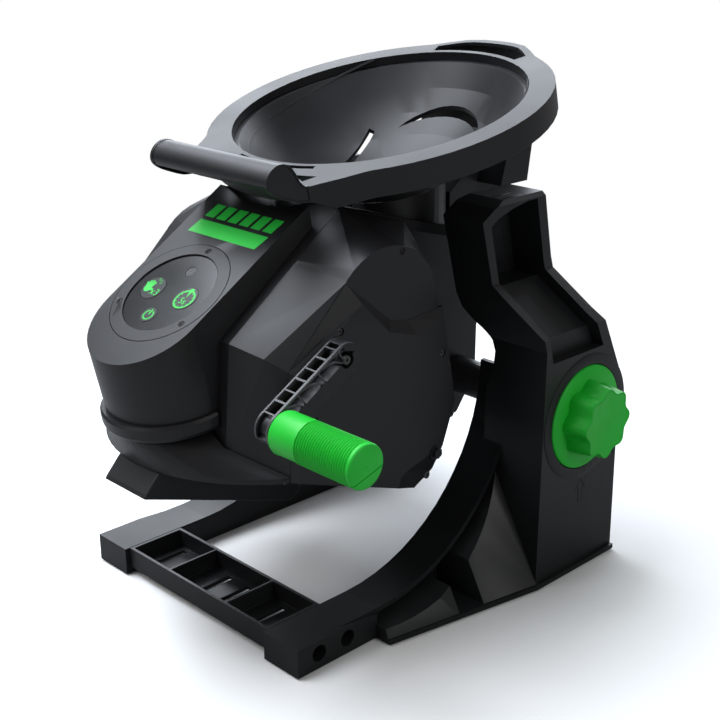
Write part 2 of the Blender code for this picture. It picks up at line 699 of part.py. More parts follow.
inner = sphere_line(SPHERE_IN, -7.0, 6)
outer = sphere_line(SPHERE_OUT, -10.0, 5)
ledge = [(BOWL_R + WALL, -7.0), (BOWL_R + WALL, -10.0)]
bowl = turned(inner + ledge + outer[::-1], (0, 0, 0), (0, 0, 1), 48)
slits = []
for side in (-1, 1):
    slits.append(prism("z", [(side * 41, -17), (side * 46, -18), (side * 60, 40), (side * 55, 41)], -90, -20))
moon = cut(rod("z", (0, 42), 43, -90, -10, 40), rod("z", (0, 28), 49, -95, -5, 40))
capsule = arc((0, 2), 20, 0, 180, 10) + arc((0, -52), 20, 180, 360, 10)
bowl = cut(bowl, *slits, moon, prism("z", capsule, -90, -15))
place(moved(bowl, BOWL_FRAME), "bowl", head, (0, BOWL_C[0], BOWL_C[1]), CHARCOAL, 0.45)

# Rim of the bowl with its crescent and the wings that lead to the front handle
LIP = RIM_R + 4.0
SIDE_X = 63.5
profile = [(BOWL_R, -7.0 + GAP), (BOWL_R, 0), (RIM_R, 0), (RIM_R, -SKIRT), (RIM_R - WALL, -SKIRT)]
profile += [(RIM_R - WALL, -WALL), (BOWL_R + WALL, -WALL), (BOWL_R + WALL, -7.0 + GAP)]
rim = turned(profile, (0, 0, 0), (0, 0, 1), 60, bowl_reach)
wing_out = [(0.69 * RIM_R, -0.715 * RIM_R), (86.5, -102.5), (78.5, -116.9), (71.5, -127.5), (SIDE_X + 2.5, -LIP)]
wing_in = [(SIDE_X - 0.5, -LIP), (68.5, -126), (75.5, -115.5), (83.5, -101), (0.66 * RIM_R, -0.70 * RIM_R)]
tray = [(x, y) for x, y in wing_out] + [(-x, y) for x, y in wing_out[::-1]]
tray += [(-80, -90), (-40, -112), (0, -119), (40, -112), (80, -90)]
plate = prism("z", tray, -WALL, 0)
walls = []
for side in (-1, 1):
    below = prism("x", [(-LIP - 3, -8.6), (-LIP + 15, -21.4), (-80, -21.4), (-80, 2), (-LIP - 3, 2)], -100, 100)
    walls.append(common(prism("z", [(side * x, y) for x, y in wing_out + wing_in], -SKIRT, -1), below))
rim = join(rim, plate, *walls)
rim = cut(rim, rod("z", (0, 0), BOWL_R, -40, 40, 60))
crescent = []
for i in range(14):
    a = math.radians(69 + 42 * i / 13)
    r = rim_reach(a) - 6.5
    crescent.append((r * math.cos(a), r * math.sin(a)))
for i in range(14):
    a = math.radians(111 - 42 * i / 13)
    crescent.append((118 * math.cos(a), 118 * math.sin(a)))
rim = cut(rim, prism("z", crescent, -12, 5))
place(moved(rim, BOWL_FRAME), "bowl_rim", head, (0, BOWL_C[0], BOWL_C[1]), CHARCOAL, 0.45)

# Rolled front handle
ROLL = (-RIM_R - 21.7, 13.5)
roll_line = [(-LIP + 5, -3.3), (-LIP - 1, -2.8), (ROLL[0] + 12.5, 2.5), (ROLL[0] + 10.1, 9.0)] + arc(ROLL, 9.8, 15, 180, 9)
roll_line += [(ROLL[0] - 9.6, 8.0), (ROLL[0] - 7.8, 2.5), (ROLL[0] - 3.3, -1.5)]
roll = prism("x", strip(roll_line, -WALL), -SIDE_X + 1, SIDE_X - 1)
cheek = [(-LIP + 3, 0.3), (-LIP, 0.3), (ROLL[0] + 15.7, 4.0), (ROLL[0] + 13.5, 9.5)] + arc(ROLL, 13.1, 10, 180, 9)
cheek += [(ROLL[0] - 12.6, 6.5), (ROLL[0] - 9.6, 1.5), (ROLL[0] - 1.3, -4.0), (-LIP + 3, -12.6)]
cheeks = []
for side in (-1, 1):
    low, high = sorted((side * (SIDE_X - WALL), side * SIDE_X))
    cheeks.append(prism("x", cheek, low, high))
roll = join(roll, *cheeks)
roll = cut(roll, box(-90, 90, -LIP - GAP, -100, -60, 60))
place(moved(roll, BOWL_FRAME), "front_handle", head, (0, BOWL_C[0] - 150, BOWL_C[1] - 30), CHARCOAL, 0.45)

ball_y = BOWL_C[0] - SPHERE_Z * math.sin(BOWL_TILT)
ball_z = BOWL_C[1] + SPHERE_Z * math.cos(BOWL_TILT)
ball_cut = turned([(0, -133.9)] + [
    (133.9 * math.sin(math.pi * i / 24), -133.9 * math.cos(math.pi * i / 24)) for i in range(1, 24)
] + [(0, 133.9)], (0, ball_y, ball_z), (0, 0, 1), 48)
neck = tube("z", (0, 203), 48, 45, 240, 330, 48)
neck = cut(neck, ball_cut)
neck = cut(neck, prism("x", [
    (120, deck_z(120) + GAP), (260, deck_z(260) + GAP), (260, 200), (120, 200),
], -60, 60))
neck = cut(neck, box(-12, 12, 140, 175, 250, 330))
place(neck, "bowl_neck", head, (0, 203, 280), CHARCOAL, 0.5)

# Rear bracket
lower = prism("x", [
    (165, 105), (165, 276.4), (251.6, 251.6), (251.6, 286), (286, 311), (303, 318), (321, 317), (317, 290),
    (289, 167), (289, 120), (277, 108), (267, 95), (230, 88), (190, 96),
], -25, 25)
boss = rod("x", TILT, 24, -25, 25, 32)
pillar = prism("x", [(284, 290), (290, 312), (298, 330), (303, 368), (328, 375), (326, 340), (321, 317), (317, 290)],
               -50, 50)
bracket = join(lower, boss, pillar)
bracket = cut(bracket, rod("x", TILT, SHAFT_R + GAP, -60, 60, 28))
bracket = cut(bracket, box(-11.5, 11.5, 160, 262, 222, 320))
inside = prism("x", [
    (160, 112), (160, 216), (252, 216), (284, 262), (300, 262), (285, 172), (285, 122), (274, 111), (264, 99),
    (230, 92), (190, 100),
], -21, 21)
inside = cut(inside, rod("x", TILT, 22, -25, 25, 24))
top_space = prism("x", [(290, 300), (294, 312), (302, 330), (307, 400), (323, 400), (322, 340), (314, 300)], -46, 46)
bracket = cut(bracket, inside, top_space)
plane_cut = moved(box(-200, 200, -200, 200, -SKIRT - GAP, 60), BOWL_FRAME)
bracket = cut(bracket, plane_cut)
place(bracket, "rear_bracket", head, (0, 230, 180), CHARCOAL, 0.5)

# Launch drive
plate = prism("x", [(14, 160), (14, 212), (60, 250), (90, 262), (140, 250), (140, 160)], 58.4, 61.4)
plate = cut(plate, rod("x", LAUNCH, 6 + GAP, 50, 70, 24), rod("x", CRANK, 5 + GAP, 50, 70, 24))
place(plate, "gear_plate", head, (60, 80, 210), STEEL, 0.4, 0.9)
toward = math.atan2(LAUNCH[1] - CRANK[1], LAUNCH[0] - CRANK[0])
pinion = gear(PINION_TEETH, CRANK, 64, 74, 4, toward)
pinion = join(pinion, tube("x", CRANK, 5, 2, 61.8, 112, 20))
place(pinion, "crank_pinion", crank, (ARM_X0, CRANK[0], CRANK[1]), STEEL, 0.35, 0.9)
wheel = gear(DRIVE_TEETH, LAUNCH, 65, 73, 6 + GAP, toward + math.pi + math.pi / DRIVE_TEETH)
for i in range(6):
    a = math.radians(60 * i)
    spoke = (LAUNCH[0] + 25 * math.cos(a), LAUNCH[1] + 25 * math.sin(a))
    wheel = cut(wheel, rod("x", spoke, 8, 60, 80, 14))
place(wheel, "drive_gear", drive, (0, LAUNCH[0], LAUNCH[1]), (0.72, 0.7, 0.62), 0.5)
axle = rod("x", LAUNCH, 6, -93.5, 96.7, 24)
place(axle, "drive_shaft", drive, (0, LAUNCH[0], LAUNCH[1]), STEEL, 0.3, 1.0)

teeth = []
for i in range(12):
    a = 2 * math.pi * i / 12
    b = 2 * math.pi * (i + 0.85) / 12
    teeth.append((CRANK[0] + 14 * math.cos(a), CRANK[1] + 14 * math.sin(a)))
    teeth.append((CRANK[0] + 11 * math.cos(b), CRANK[1] + 11 * math.sin(b)))
ratchet = cut(prism("x", teeth, 78, 83), rod("x", CRANK, 5 + GAP, 70, 90, 24))
place(ratchet, "ratchet_wheel", crank, (ARM_X0, CRANK[0], CRANK[1]), STEEL, 0.4, 0.9)
pawl = hull([(x, y, z) for x in (78.5, 82.5) for y, z in arc(PAWL, 4, 90, 330, 8) + [(33.0, 213.6), (34.5, 211.6)]])
pawl = cut(pawl, rod("x", PAWL, 2, 70, 90, 12))
pawl_pivot = empty_at("pawl_pivot", (80.5, PAWL[0], PAWL[1]), head)
place(pawl, "ratchet_pawl", pawl_pivot, (80.5, PAWL[0], PAWL[1]), STEEL, 0.4, 0.9)

for side, name in ((1, "launch_spring_right"), (-1, "launch_spring_left")):
    place(spring(LAUNCH, 7.9, 1.4, side * 15, side * 48, 5), name, head, (side * 31, LAUNCH[0], LAUNCH[1]), STEEL, 0.3, 1.0)

# Kicker
line = [(106, 226), (150, 235), (196, 257), (213, 290)]
back = [(203, 288), (188, 266), (147, 245), (106, 237)]
kick = prism("x", line + back, -8, 8)
kick = join(kick, rod("x", LAUNCH, 12, -10, 10, 32))
kick = join(kick, prism("x", [(104, 222), (84, 206), (78, 212), (100, 240)], -6, 6))
kick = cut(kick, rod("x", LAUNCH, 6 + GAP, -12, 12, 24), rod("x", (84.5, 213), 2.8, -10, 10, 16))
place(kick, "kicker_arm", kicker, (0, LAUNCH[0], LAUNCH[1]), (0.72, 0.7, 0.62), 0.5)
face = turned([(0, 0), (16.5, 0), (18.5, 1.5), (18.5, 5), (0, 5)], (0, 207.9, 289.4), (0, -0.2, 0.98), 32)
place(face, "kicker_pad", kicker, (0, LAUNCH[0], LAUNCH[1]), (0.03, 0.03, 0.03), 0.8)

latch = rod("x", (84.5, 213), 2.5, 8.5, 34, 16)
latch = join(latch, rod("x", (84.5, 213), 5, 26, 29, 16))
latch_pivot = empty_at("latch_pivot", (8.5, 84.5, 213), head)
place(latch, "latch_pin", latch_pivot, (8.5, 84.5, 213), STEEL, 0.3, 1.0)
coil_box = box(30, CASE_HALF - WALL - GAP, 73, 94, 202, 222)
coil_box = cut(coil_box, rod("x", (84.5, 213), 2.5 + GAP, 25, 60, 16))
place(coil_box, "solenoid", head, (42, 84.5, 213), BRASS, 0.5, 0.4)

# Crank arm and grip
dy = GRIP[0] - CRANK[0]
dz = GRIP[1] - CRANK[1]
lean = math.degrees(math.atan2(dz, dy))


def stadium(radius):
    return arc(GRIP, radius, lean - 90, lean + 90, 12) + arc(CRANK, radius, lean + 90, lean + 270, 12)


arm = join(prism("x", stadium(12), 108, ARM_X1 - 2), loft("x", stadium(12), ARM_X1 - 2.2, stadium(10.8), ARM_X1))
arm = cut(arm, prism("x", stadium(9), 112, 130))
ux = math.cos(math.radians(lean))
uz = math.sin(math.radians(lean))
ribs = []
for i in range(8):
    s = -4 + 10.5 * i
    cy = CRANK[0] + ux * s
    cz = CRANK[1] + uz * s
    flip = 1 if i % 2 else -1
    ey = ux * 4.4 - flip * uz * 9.4
    ez = uz * 4.4 + flip * ux * 9.4
    ribs.append(prism("x", [
        (cy - ey - ux * 0.6, cz - ez - uz * 0.6), (cy + ey - ux * 0.6, cz + ez - uz * 0.6),
        (cy + ey + ux * 0.6, cz + ez + uz * 0.6), (cy - ey + ux * 0.6, cz - ez + uz * 0.6),
    ], 111, ARM_X1 - 2.5))
arm = join(arm, *ribs)
arm = join(arm, rod("x", CRANK, 7.5, 106, 119, 24), rod("x", GRIP, 7, 111, 119, 24))
arm = cut(arm, rod("x", CRANK, 5 + GAP, 100, 113, 24), rod("x", CRANK, 1.6, 100, 130, 12))
arm = cut(arm, rod("x", CRANK, 3.8, 118.9, 130, 16))
arm = cut(arm, rod("x", GRIP, 4 + GAP, 100, 130, 20))
place(arm, "crank_arm", crank, (ARM_X0, CRANK[0], CRANK[1]), BLACK, 0.45)
screw = join(rod("x", CRANK, 3.2, 119.3, 121.5, 16), rod("x", CRANK, 1.3, 113, 120, 12))
place(screw, "arm_screw", crank, (ARM_X0, CRANK[0], CRANK[1]), STEEL, 0.35, 1.0)
pin = join(rod("x", GRIP, 4, 109, 190, 20), rod("x", GRIP, 6.5, 106.2, 107.6, 20))
pin = join(pin, rod("x", GRIP, 4, 107, 110, 20))
place(pin, "grip_pin", crank, (ARM_X0, GRIP[0], GRIP[1]), STEEL, 0.3, 1.0)

profile = [(4 + GAP, 124), (13.5, 124), (15, 125.5), (15, 144)]
for i in range(13):
    profile += [(14.1, 146.4 + 3.9 * i), (15, 148.0 + 3.9 * i)]
profile += [(15, 196.5), (13.8, GRIP_X1), (0, GRIP_X1), (0, 190.6), (4 + GAP, 190.6)]
handle = turned(profile, (0, GRIP[0], GRIP[1]), (1, 0, 0), 20)
place(handle, "crank_grip", grip, (ARM_X1, GRIP[0], GRIP[1]), GREEN, 0.45, 0.0, 25.0)

# Stand the whole object on its own bottom centre
bpy.context.view_layer.update()
low = Vector((1e9, 1e9, 1e9))
high = -low
for ob in bpy.data.objects:
    if ob.type == "MESH":
        for corner in ob.bound_box:
            point = ob.matrix_world @ Vector(corner)
            low = Vector([min(a, b) for a, b in zip(low, point)])
            high = Vector([max(a, b) for a, b in zip(high, point)])
root.location = (-(low.x + high.x) / 2, -(low.y + high.y) / 2, -low.z)
bpy.context.view_layer.update()
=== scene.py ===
# %% [markdown]
# A crank-wound soccer ball launcher: a head with a ball bowl, a key panel and a side crank
# tilts between two plastic side frames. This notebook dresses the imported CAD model. The rigid
# nodes already have the right size, so most pieces here start from a node's own mesh, get the
# rounded edges of a moulding, and then a finish built from shader nodes.

# %% Load the fixed frame
import json
import math

import bmesh
import bpy
from mathutils import Matrix, Vector


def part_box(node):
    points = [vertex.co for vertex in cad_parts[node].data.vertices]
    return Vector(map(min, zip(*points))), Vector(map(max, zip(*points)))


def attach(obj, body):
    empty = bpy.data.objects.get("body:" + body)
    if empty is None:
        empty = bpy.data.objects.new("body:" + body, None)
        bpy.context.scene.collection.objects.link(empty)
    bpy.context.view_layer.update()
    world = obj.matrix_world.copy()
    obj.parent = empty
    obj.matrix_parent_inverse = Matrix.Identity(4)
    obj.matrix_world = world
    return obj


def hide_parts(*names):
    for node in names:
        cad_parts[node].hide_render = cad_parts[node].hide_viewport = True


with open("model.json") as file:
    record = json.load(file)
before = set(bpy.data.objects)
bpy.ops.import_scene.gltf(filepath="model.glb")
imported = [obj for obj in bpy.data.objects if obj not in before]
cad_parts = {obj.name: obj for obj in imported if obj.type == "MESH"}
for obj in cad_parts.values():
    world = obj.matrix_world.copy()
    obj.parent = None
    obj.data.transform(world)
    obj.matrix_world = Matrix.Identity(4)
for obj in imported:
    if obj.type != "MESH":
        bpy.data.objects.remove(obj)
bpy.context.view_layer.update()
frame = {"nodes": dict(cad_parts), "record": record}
MM = 0.001
TRAY_CORNER = Vector((-83.7, 4.0, 5.0)) * MM
STAND = Vector(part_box("front_tray")[0]) - TRAY_CORNER
print("stand origin in the frame:", [round(v, 4) for v in STAND])


def at(x, y, z):
    """A place given in millimetres from the stand's origin: right, to the rear, up."""
    return STAND + Vector((x, y, z)) * MM


# %% [markdown]
# The camera comes first, because every later choice is compared with the photograph. Its place
# was worked out from the straight edges of the stand, so the lens and the angles are values.

# %% Camera
LENS = 65.13
HEADING = 45.66
LOOKS_DOWN = 20.15
scene = bpy.context.scene
camera_data = bpy.data.cameras.new("camera")
camera_data.sensor_width = 36.0
camera_data.lens = LENS
camera_data.clip_start = 0.01
camera = bpy.data.objects.new("camera", camera_data)
scene.collection.objects.link(camera)
camera.location = at(698.6, -505.8, 516.3)
camera.rotation_euler = (math.radians(90.0 - LOOKS_DOWN), 0.0, math.radians(HEADING))
scene.camera = camera
scene.view_settings.view_transform = "Standard"
print("camera at", [round(v, 3) for v in camera.location], "with a lens of", LENS, "mm")

# %% [markdown]
# Black plastic shows its form only through what it mirrors, so the room matters as much as the
# object. The world lights it at a plain, low level, and a Light Path node gives the camera
# itself pure white, as behind a catalogue picture.

# %% World
WORLD_LIGHT = 0.2
world = bpy.data.worlds.new("studio")
scene.world = world
world.use_nodes = True
nodes = world.node_tree.nodes
links = world.node_tree.links
nodes.clear()
soft = nodes.new("ShaderNodeBackground")
soft.inputs["Color"].default_value = (1.0, 1.0, 1.0, 1.0)
soft.inputs["Strength"].default_value = WORLD_LIGHT
white = nodes.new("ShaderNodeBackground")
white.inputs["Color"].default_value = (1.0, 1.0, 1.0, 1.0)
white.inputs["Strength"].default_value = 1.0
seen = nodes.new("ShaderNodeLightPath")
blend = nodes.new("ShaderNodeMixShader")
output = nodes.new("ShaderNodeOutputWorld")
links.new(seen.outputs["Is Camera Ray"], blend.inputs["Fac"])
links.new(soft.outputs["Background"], blend.inputs[1])
links.new(white.outputs["Background"], blend.inputs[2])
links.new(blend.outputs["Shader"], output.inputs["Surface"])
print("world light", WORLD_LIGHT)

# %% [markdown]
# The floor is one pale disc. A plane with a far edge would show a horizon, so the disc is matt
# and takes the soft shadow near the launcher, and fades to an even white further out.

# %% Floor disc
FLOOR_RADIUS = 1.5
bm = bmesh.new()
bmesh.ops.create_circle(bm, cap_ends=True, radius=FLOOR_RADIUS, segments=96)
floor_mesh = bpy.data.meshes.new("floor")
bm.to_mesh(floor_mesh)
bm.free()
floor = bpy.data.objects.new("floor", floor_mesh)
scene.collection.objects.link(floor)
print("floor disc of radius", FLOOR_RADIUS, "m")

# %% [markdown]
# The floor's material works in two steps. The distance from the middle mixes the matt paint
# into the white. Then Is Camera Ray keeps that bright mix for the camera, while the launcher is
# lit by a dim floor, or its undersides would glow.

# %% Floor material
SHADOW_REACH = 0.3
WHITE_FROM = 0.75
pale = bpy.data.materials.new("pale_floor")
pale.use_nodes = True
tree = pale.node_tree
tree.nodes.clear()
near = tree.nodes.new("ShaderNodeBsdfDiffuse")
near.inputs["Color"].default_value = (0.95, 0.95, 0.95, 1.0)
glow = tree.nodes.new("ShaderNodeEmission")
glow.inputs["Color"].default_value = (1.0, 1.0, 1.0, 1.0)
dim = tree.nodes.new("ShaderNodeBsdfDiffuse")
dim.inputs["Color"].default_value = (0.3, 0.3, 0.3, 1.0)
spot = tree.nodes.new("ShaderNodeTexCoord")
reach = tree.nodes.new("ShaderNodeVectorMath")
reach.operation = "LENGTH"
fade = tree.nodes.new("ShaderNodeMapRange")
fade.inputs["From Min"].default_value = SHADOW_REACH
fade.inputs["From Max"].default_value = WHITE_FROM
to_white = tree.nodes.new("ShaderNodeMixShader")
by_ray = tree.nodes.new("ShaderNodeMixShader")
ray = tree.nodes.new("ShaderNodeLightPath")
surface = tree.nodes.new("ShaderNodeOutputMaterial")
tree.links.new(spot.outputs["Object"], reach.inputs[0])
tree.links.new(reach.outputs["Value"], fade.inputs["Value"])
tree.links.new(fade.outputs["Result"], to_white.inputs["Fac"])
tree.links.new(near.outputs["BSDF"], to_white.inputs[1])
tree.links.new(glow.outputs["Emission"], to_white.inputs[2])
tree.links.new(ray.outputs["Is Camera Ray"], by_ray.inputs["Fac"])
tree.links.new(dim.outputs["BSDF"], by_ray.inputs[1])
tree.links.new(to_white.outputs["Shader"], by_ray.inputs[2])
tree.links.new(by_ray.outputs["Shader"], surface.inputs["Surface"])
floor.data.materials.append(pale)
print("floor fades to white from", SHADOW_REACH, "to", WHITE_FROM, "m")

# %% [markdown]
# Large lamps draw soft, broad gleams along the edges of black plastic, where small ones would
# only leave dots. The two behind and above carry most of the light and are slightly blue, as
# daylight from a studio window is, and the two in front only lift the shadows.

# %% Lamps
MIDDLE = Vector((0.0, 0.0, 0.2))
NEUTRAL = (1.0, 1.0, 1.0)
COOL = (0.86, 0.92, 1.0)
LAMPS = {
    "key_lamp": ((-0.7, -1.5, 1.5), (0.9, 0.9), 11.0, NEUTRAL),
    "side_lamp": ((1.9, 0.1, 1.1), (0.7, 1.2), 8.0, NEUTRAL),
    "top_lamp": ((-0.85, -0.25, 1.95), (1.6, 1.4), 70.0, COOL),
    "back_lamp": ((-1.1, 1.6, 1.05), (2.7, 1.0), 40.0, COOL),
}
for name, (place, size, power, colour) in LAMPS.items():
    data = bpy.data.lights.new(name, "AREA")
    data.shape = "RECTANGLE"
    data.size, data.size_y = size
    data.energy = power
    data.color = colour
    lamp = bpy.data.objects.new(name, data)
    scene.collection.objects.link(lamp)
    lamp.location = place
    lamp.rotation_euler = (MIDDLE - Vector(place)).to_track_quat("-Z", "Y").to_euler()
    print(name, power, "W")

# %% [markdown]
# Moulded plastic is never one even colour: the tool's fine texture breaks up its shine, and
# its tone varies a little from place to place. One node group makes both, so that every
# plastic in the object can use it with its own colours. First come its sockets.

# %% Sockets of the shader group for moulded plastic
grain = bpy.data.node_groups.new("moulded_grain", "ShaderNodeTree")
face = grain.interface
for label, kind, value in (
    ("Colour", "NodeSocketColor", (0.02, 0.02, 0.02, 1.0)),
    ("Worn colour", "NodeSocketColor", (0.04, 0.04, 0.04, 1.0)),
    ("Texture scale", "NodeSocketFloat", 900.0),
    ("Rough low", "NodeSocketFloat", 0.4),
    ("Rough high", "NodeSocketFloat", 0.55),
):
    socket = face.new_socket(name=label, in_out="INPUT", socket_type=kind)
    socket.default_value = value
for label, kind in (
    ("Colour", "NodeSocketColor"),
    ("Roughness", "NodeSocketFloat"),
    ("Height", "NodeSocketFloat"),
):
    face.new_socket(name=label, in_out="OUTPUT", socket_type=kind)
print("group", grain.name, "has", len(face.items_tree), "sockets")

# %% [markdown]
# Inside the group two noises do the work. A broad one mixes the two colours and moves the
# roughness up and down, so a gleam is uneven. A fine one goes out as a height for the bump.

# %% Nodes of the shader group
gn = grain.nodes
gl = grain.links
group_in = gn.new("NodeGroupInput")
group_out = gn.new("NodeGroupOutput")
place_on = gn.new("ShaderNodeTexCoord")
fine = gn.new("ShaderNodeTexNoise")
fine.inputs["Detail"].default_value = 3.0
cloud = gn.new("ShaderNodeTexNoise")
cloud.inputs["Scale"].default_value = 14.0
cloud.inputs["Detail"].default_value = 4.0
spread = gn.new("ShaderNodeMapRange")
spread.inputs["From Min"].default_value = 0.35
spread.inputs["From Max"].default_value = 0.7
tint = gn.new("ShaderNodeMix")
tint.data_type = "RGBA"
shine = gn.new("ShaderNodeMapRange")
shine.inputs["From Min"].default_value = 0.3
shine.inputs["From Max"].default_value = 0.7
gl.new(place_on.outputs["Object"], fine.inputs["Vector"])
gl.new(place_on.outputs["Object"], cloud.inputs["Vector"])
gl.new(group_in.outputs["Texture scale"], fine.inputs["Scale"])
gl.new(cloud.outputs["Fac"], spread.inputs["Value"])
gl.new(spread.outputs["Result"], tint.inputs["Factor"])
gl.new(group_in.outputs["Colour"], tint.inputs["A"])
gl.new(group_in.outputs["Worn colour"], tint.inputs["B"])
gl.new(cloud.outputs["Fac"], shine.inputs["Value"])
gl.new(group_in.outputs["Rough low"], shine.inputs["To Min"])
gl.new(group_in.outputs["Rough high"], shine.inputs["To Max"])
gl.new(tint.outputs["Result"], group_out.inputs["Colour"])
gl.new(shine.outputs["Result"], group_out.inputs["Roughness"])
gl.new(fine.outputs["Fac"], group_out.inputs["Height"])
print(len(gn), "nodes make the grain")

# %% [markdown]
# Every finish is the same Principled shader with the group in front of it. A helper builds it
# from a plain and a worn colour, the scale of the texture and the range of its roughness, so
# the launcher's materials can be compared line by line.

# %% Helper that makes a moulded finish
TEXTURE_DEPTH = 0.0002


def moulded(name, colour, worn, scale=900.0, rough=(0.4, 0.55), bump=0.12, coat=0.0):
    mat = bpy.data.materials.new(name)
    mat.use_nodes = True
    tree = mat.node_tree
    shader = tree.nodes["Principled BSDF"]
    shader.inputs["Specular IOR Level"].default_value = 0.35
    shader.inputs["Coat Weight"].default_value = coat
    shader.inputs["Coat Roughness"].default_value = 0.15
    group = tree.nodes.new("ShaderNodeGroup")
    group.node_tree = grain
    group.inputs["Colour"].default_value = (*colour, 1.0)
    group.inputs["Worn colour"].default_value = (*worn, 1.0)
    group.inputs["Texture scale"].default_value = scale
    group.inputs["Rough low"].default_value = rough[0]
    group.inputs["Rough high"].default_value = rough[1]
    raised = tree.nodes.new("ShaderNodeBump")
    raised.inputs["Strength"].default_value = bump
    raised.inputs["Distance"].default_value = TEXTURE_DEPTH
    tree.links.new(group.outputs["Colour"], shader.inputs["Base Color"])
    tree.links.new(group.outputs["Roughness"], shader.inputs["Roughness"])
    tree.links.new(group.outputs["Height"], raised.inputs["Height"])
    tree.links.new(raised.outputs["Normal"], shader.inputs["Normal"])
    return mat


print("texture depth", TEXTURE_DEPTH, "m")

# %% [markdown]
# The casing has three near-black plastics, the parts a hand turns are bright green, and the
# panel is smooth and slightly coated. The colours are written as linear values, which is why
# the blacks look so low: the lamps do the rest.

# %% Finishes of the parts that show
frame_black = moulded("frame_black", (0.0085, 0.009, 0.01), (0.013, 0.014, 0.015), 1100.0,
                      (0.36, 0.47))
case_charcoal = moulded("case_charcoal", (0.0125, 0.0125, 0.014), (0.017, 0.017, 0.019), 1300.0,
                        (0.34, 0.44))
bowl_charcoal = moulded("bowl_charcoal", (0.013, 0.013, 0.0145), (0.018, 0.018, 0.02), 1300.0,
                        (0.36, 0.46))
grip_green = moulded("grip_green", (0.012, 0.5, 0.03), (0.02, 0.6, 0.05), 900.0, (0.38, 0.5), 0.1)
panel_dark = moulded("panel_dark", (0.006, 0.007, 0.008), (0.009, 0.01, 0.011), 1500.0,
                     (0.16, 0.24), 0.04, 0.3)
key_dark = moulded("key_dark", (0.01, 0.011, 0.012), (0.014, 0.015, 0.016), 1500.0,
                   (0.25, 0.33), 0.05, 0.2)
print_green = moulded("print_green", (0.02, 0.55, 0.05), (0.03, 0.62, 0.07), 1500.0,
                      (0.4, 0.5), 0.02)
screw_steel = moulded("screw_steel", (0.045, 0.045, 0.048), (0.09, 0.09, 0.095), 1500.0,
                      (0.28, 0.4), 0.05)
soft_rubber = moulded("soft_rubber", (0.01, 0.01, 0.01), (0.016, 0.016, 0.016), 700.0,
                      (0.7, 0.85), 0.2)
nylon_grey = moulded("nylon_grey", (0.3, 0.3, 0.29), (0.36, 0.36, 0.35), 900.0, (0.45, 0.6), 0.08)
tube_grey = moulded("tube_grey", (0.05, 0.05, 0.053), (0.07, 0.07, 0.075), 1100.0,
                    (0.3, 0.4), 0.06)
print("blackest plastic", frame_black.name, "brightest", grip_green.name)

# %% [markdown]
# The parts behind the panel and inside the drive are hardly seen, and at most through the
# bowl's openings, so their finishes are simple: a circuit board, wrapped cells, a coil and
# bright steel.

# %% Finishes of the inner parts
board_green = moulded("board_green", (0.01, 0.09, 0.03), (0.02, 0.13, 0.05), 600.0,
                      (0.35, 0.5), 0.05)
cell_wrap = moulded("cell_wrap", (0.1, 0.11, 0.13), (0.14, 0.15, 0.17), 800.0, (0.25, 0.4), 0.03)
coil_brown = moulded("coil_brown", (0.3, 0.13, 0.04), (0.36, 0.18, 0.06), 1500.0, (0.3, 0.45), 0.1)
bright_steel = moulded("bright_steel", (0.5, 0.5, 0.52), (0.6, 0.6, 0.62), 1500.0,
                       (0.22, 0.34), 0.04)
bright_steel.node_tree.nodes["Principled BSDF"].inputs["Metallic"].default_value = 1.0
print(len(bpy.data.materials), "materials so far, with those of the loaded frame")

# %% [markdown]
# Each CAD node now gets its finish from one table, so that no node keeps the plain colour it
# came with. Two lookups are kept for later: the finish of a node, and the body it rides on.

# %% Finishes on the CAD nodes
FINISH = {
    frame_black: "right_side_frame left_side_frame front_tray left_pivot_cap scale_ring "
                 "battery_box battery_door",
    case_charcoal: "main_case right_side_case left_side_case right_side_cover left_side_cover "
                   "base_pan bowl_neck rear_bracket crank_arm bezel_ring",
    bowl_charcoal: "bowl bowl_rim front_handle",
    grip_green: "clamp_knob crank_grip",
    panel_dark: "panel_glass",
    key_dark: "clap_key timer_key power_key",
    screw_steel: "bezel_screw_top bezel_screw_left bezel_screw_right cover_screw_1 cover_screw_2 "
                 "cover_screw_3 cover_screw_4 cover_screw_5 arm_screw microphone",
    soft_rubber: "right_foot_pad left_foot_pad kicker_pad",
    nylon_grey: "right_bushing left_bushing drive_gear kicker_arm",
    tube_grey: "tilt_shaft",
    board_green: "circuit_board",
    cell_wrap: "batteries",
    coil_brown: "solenoid",
    bright_steel: "clamp_bolt grip_pin drive_shaft latch_pin crank_pinion ratchet_wheel "
                  "ratchet_pawl gear_plate launch_spring_left launch_spring_right",
}
material_of = {}
for finish, names in FINISH.items():
    for name in names.split():
        node = frame["nodes"][name]
        node.data.materials.clear()
        node.data.materials.append(finish)
        material_of[name] = finish
body_of = {}
for body, names in frame["record"]["behaviour"]["bodies"].items():
    for name in names:
        body_of[name] = body
print(len(material_of), "CAD nodes have a finish,", len(body_of), "ride on a body")

# %% [markdown]
# Small parts are easier to model in millimetres, flat on their own plane, and then to lay on
# the launcher. These placing matrices do that: one for the stand, one for the sloping key
# panel, one for the rim of the bowl, and one for anything on the right side. Each also turns
# millimetres into metres.

# %% Placing matrices
SHRINK = Matrix.Scale(MM, 4)
PANEL_CORNER, PANEL_TILT = (0.0, 0.0, 257.2), 32.0
RIM_CENTRE, RIM_TILT = (0.0, 196.6, 359.5), 14.0
TILT_AXIS = (0.0, 266.0, 130.0)
CRANK_AXIS = (0.0, 46.5, 223.0)
GRIP_CENTRE = (0.0, -11.0, 190.0)
# Turns a drawing so that its X runs to the rear, its Y up and its Z out to the right
TO_THE_SIDE = Matrix(((0, 0, 1, 0), (1, 0, 0, 0), (0, 1, 0, 0), (0, 0, 0, 1)))


def sloping(place, tilt):
    return Matrix.Translation(at(*place)) @ Matrix.Rotation(math.radians(tilt), 4, "X") @ SHRINK


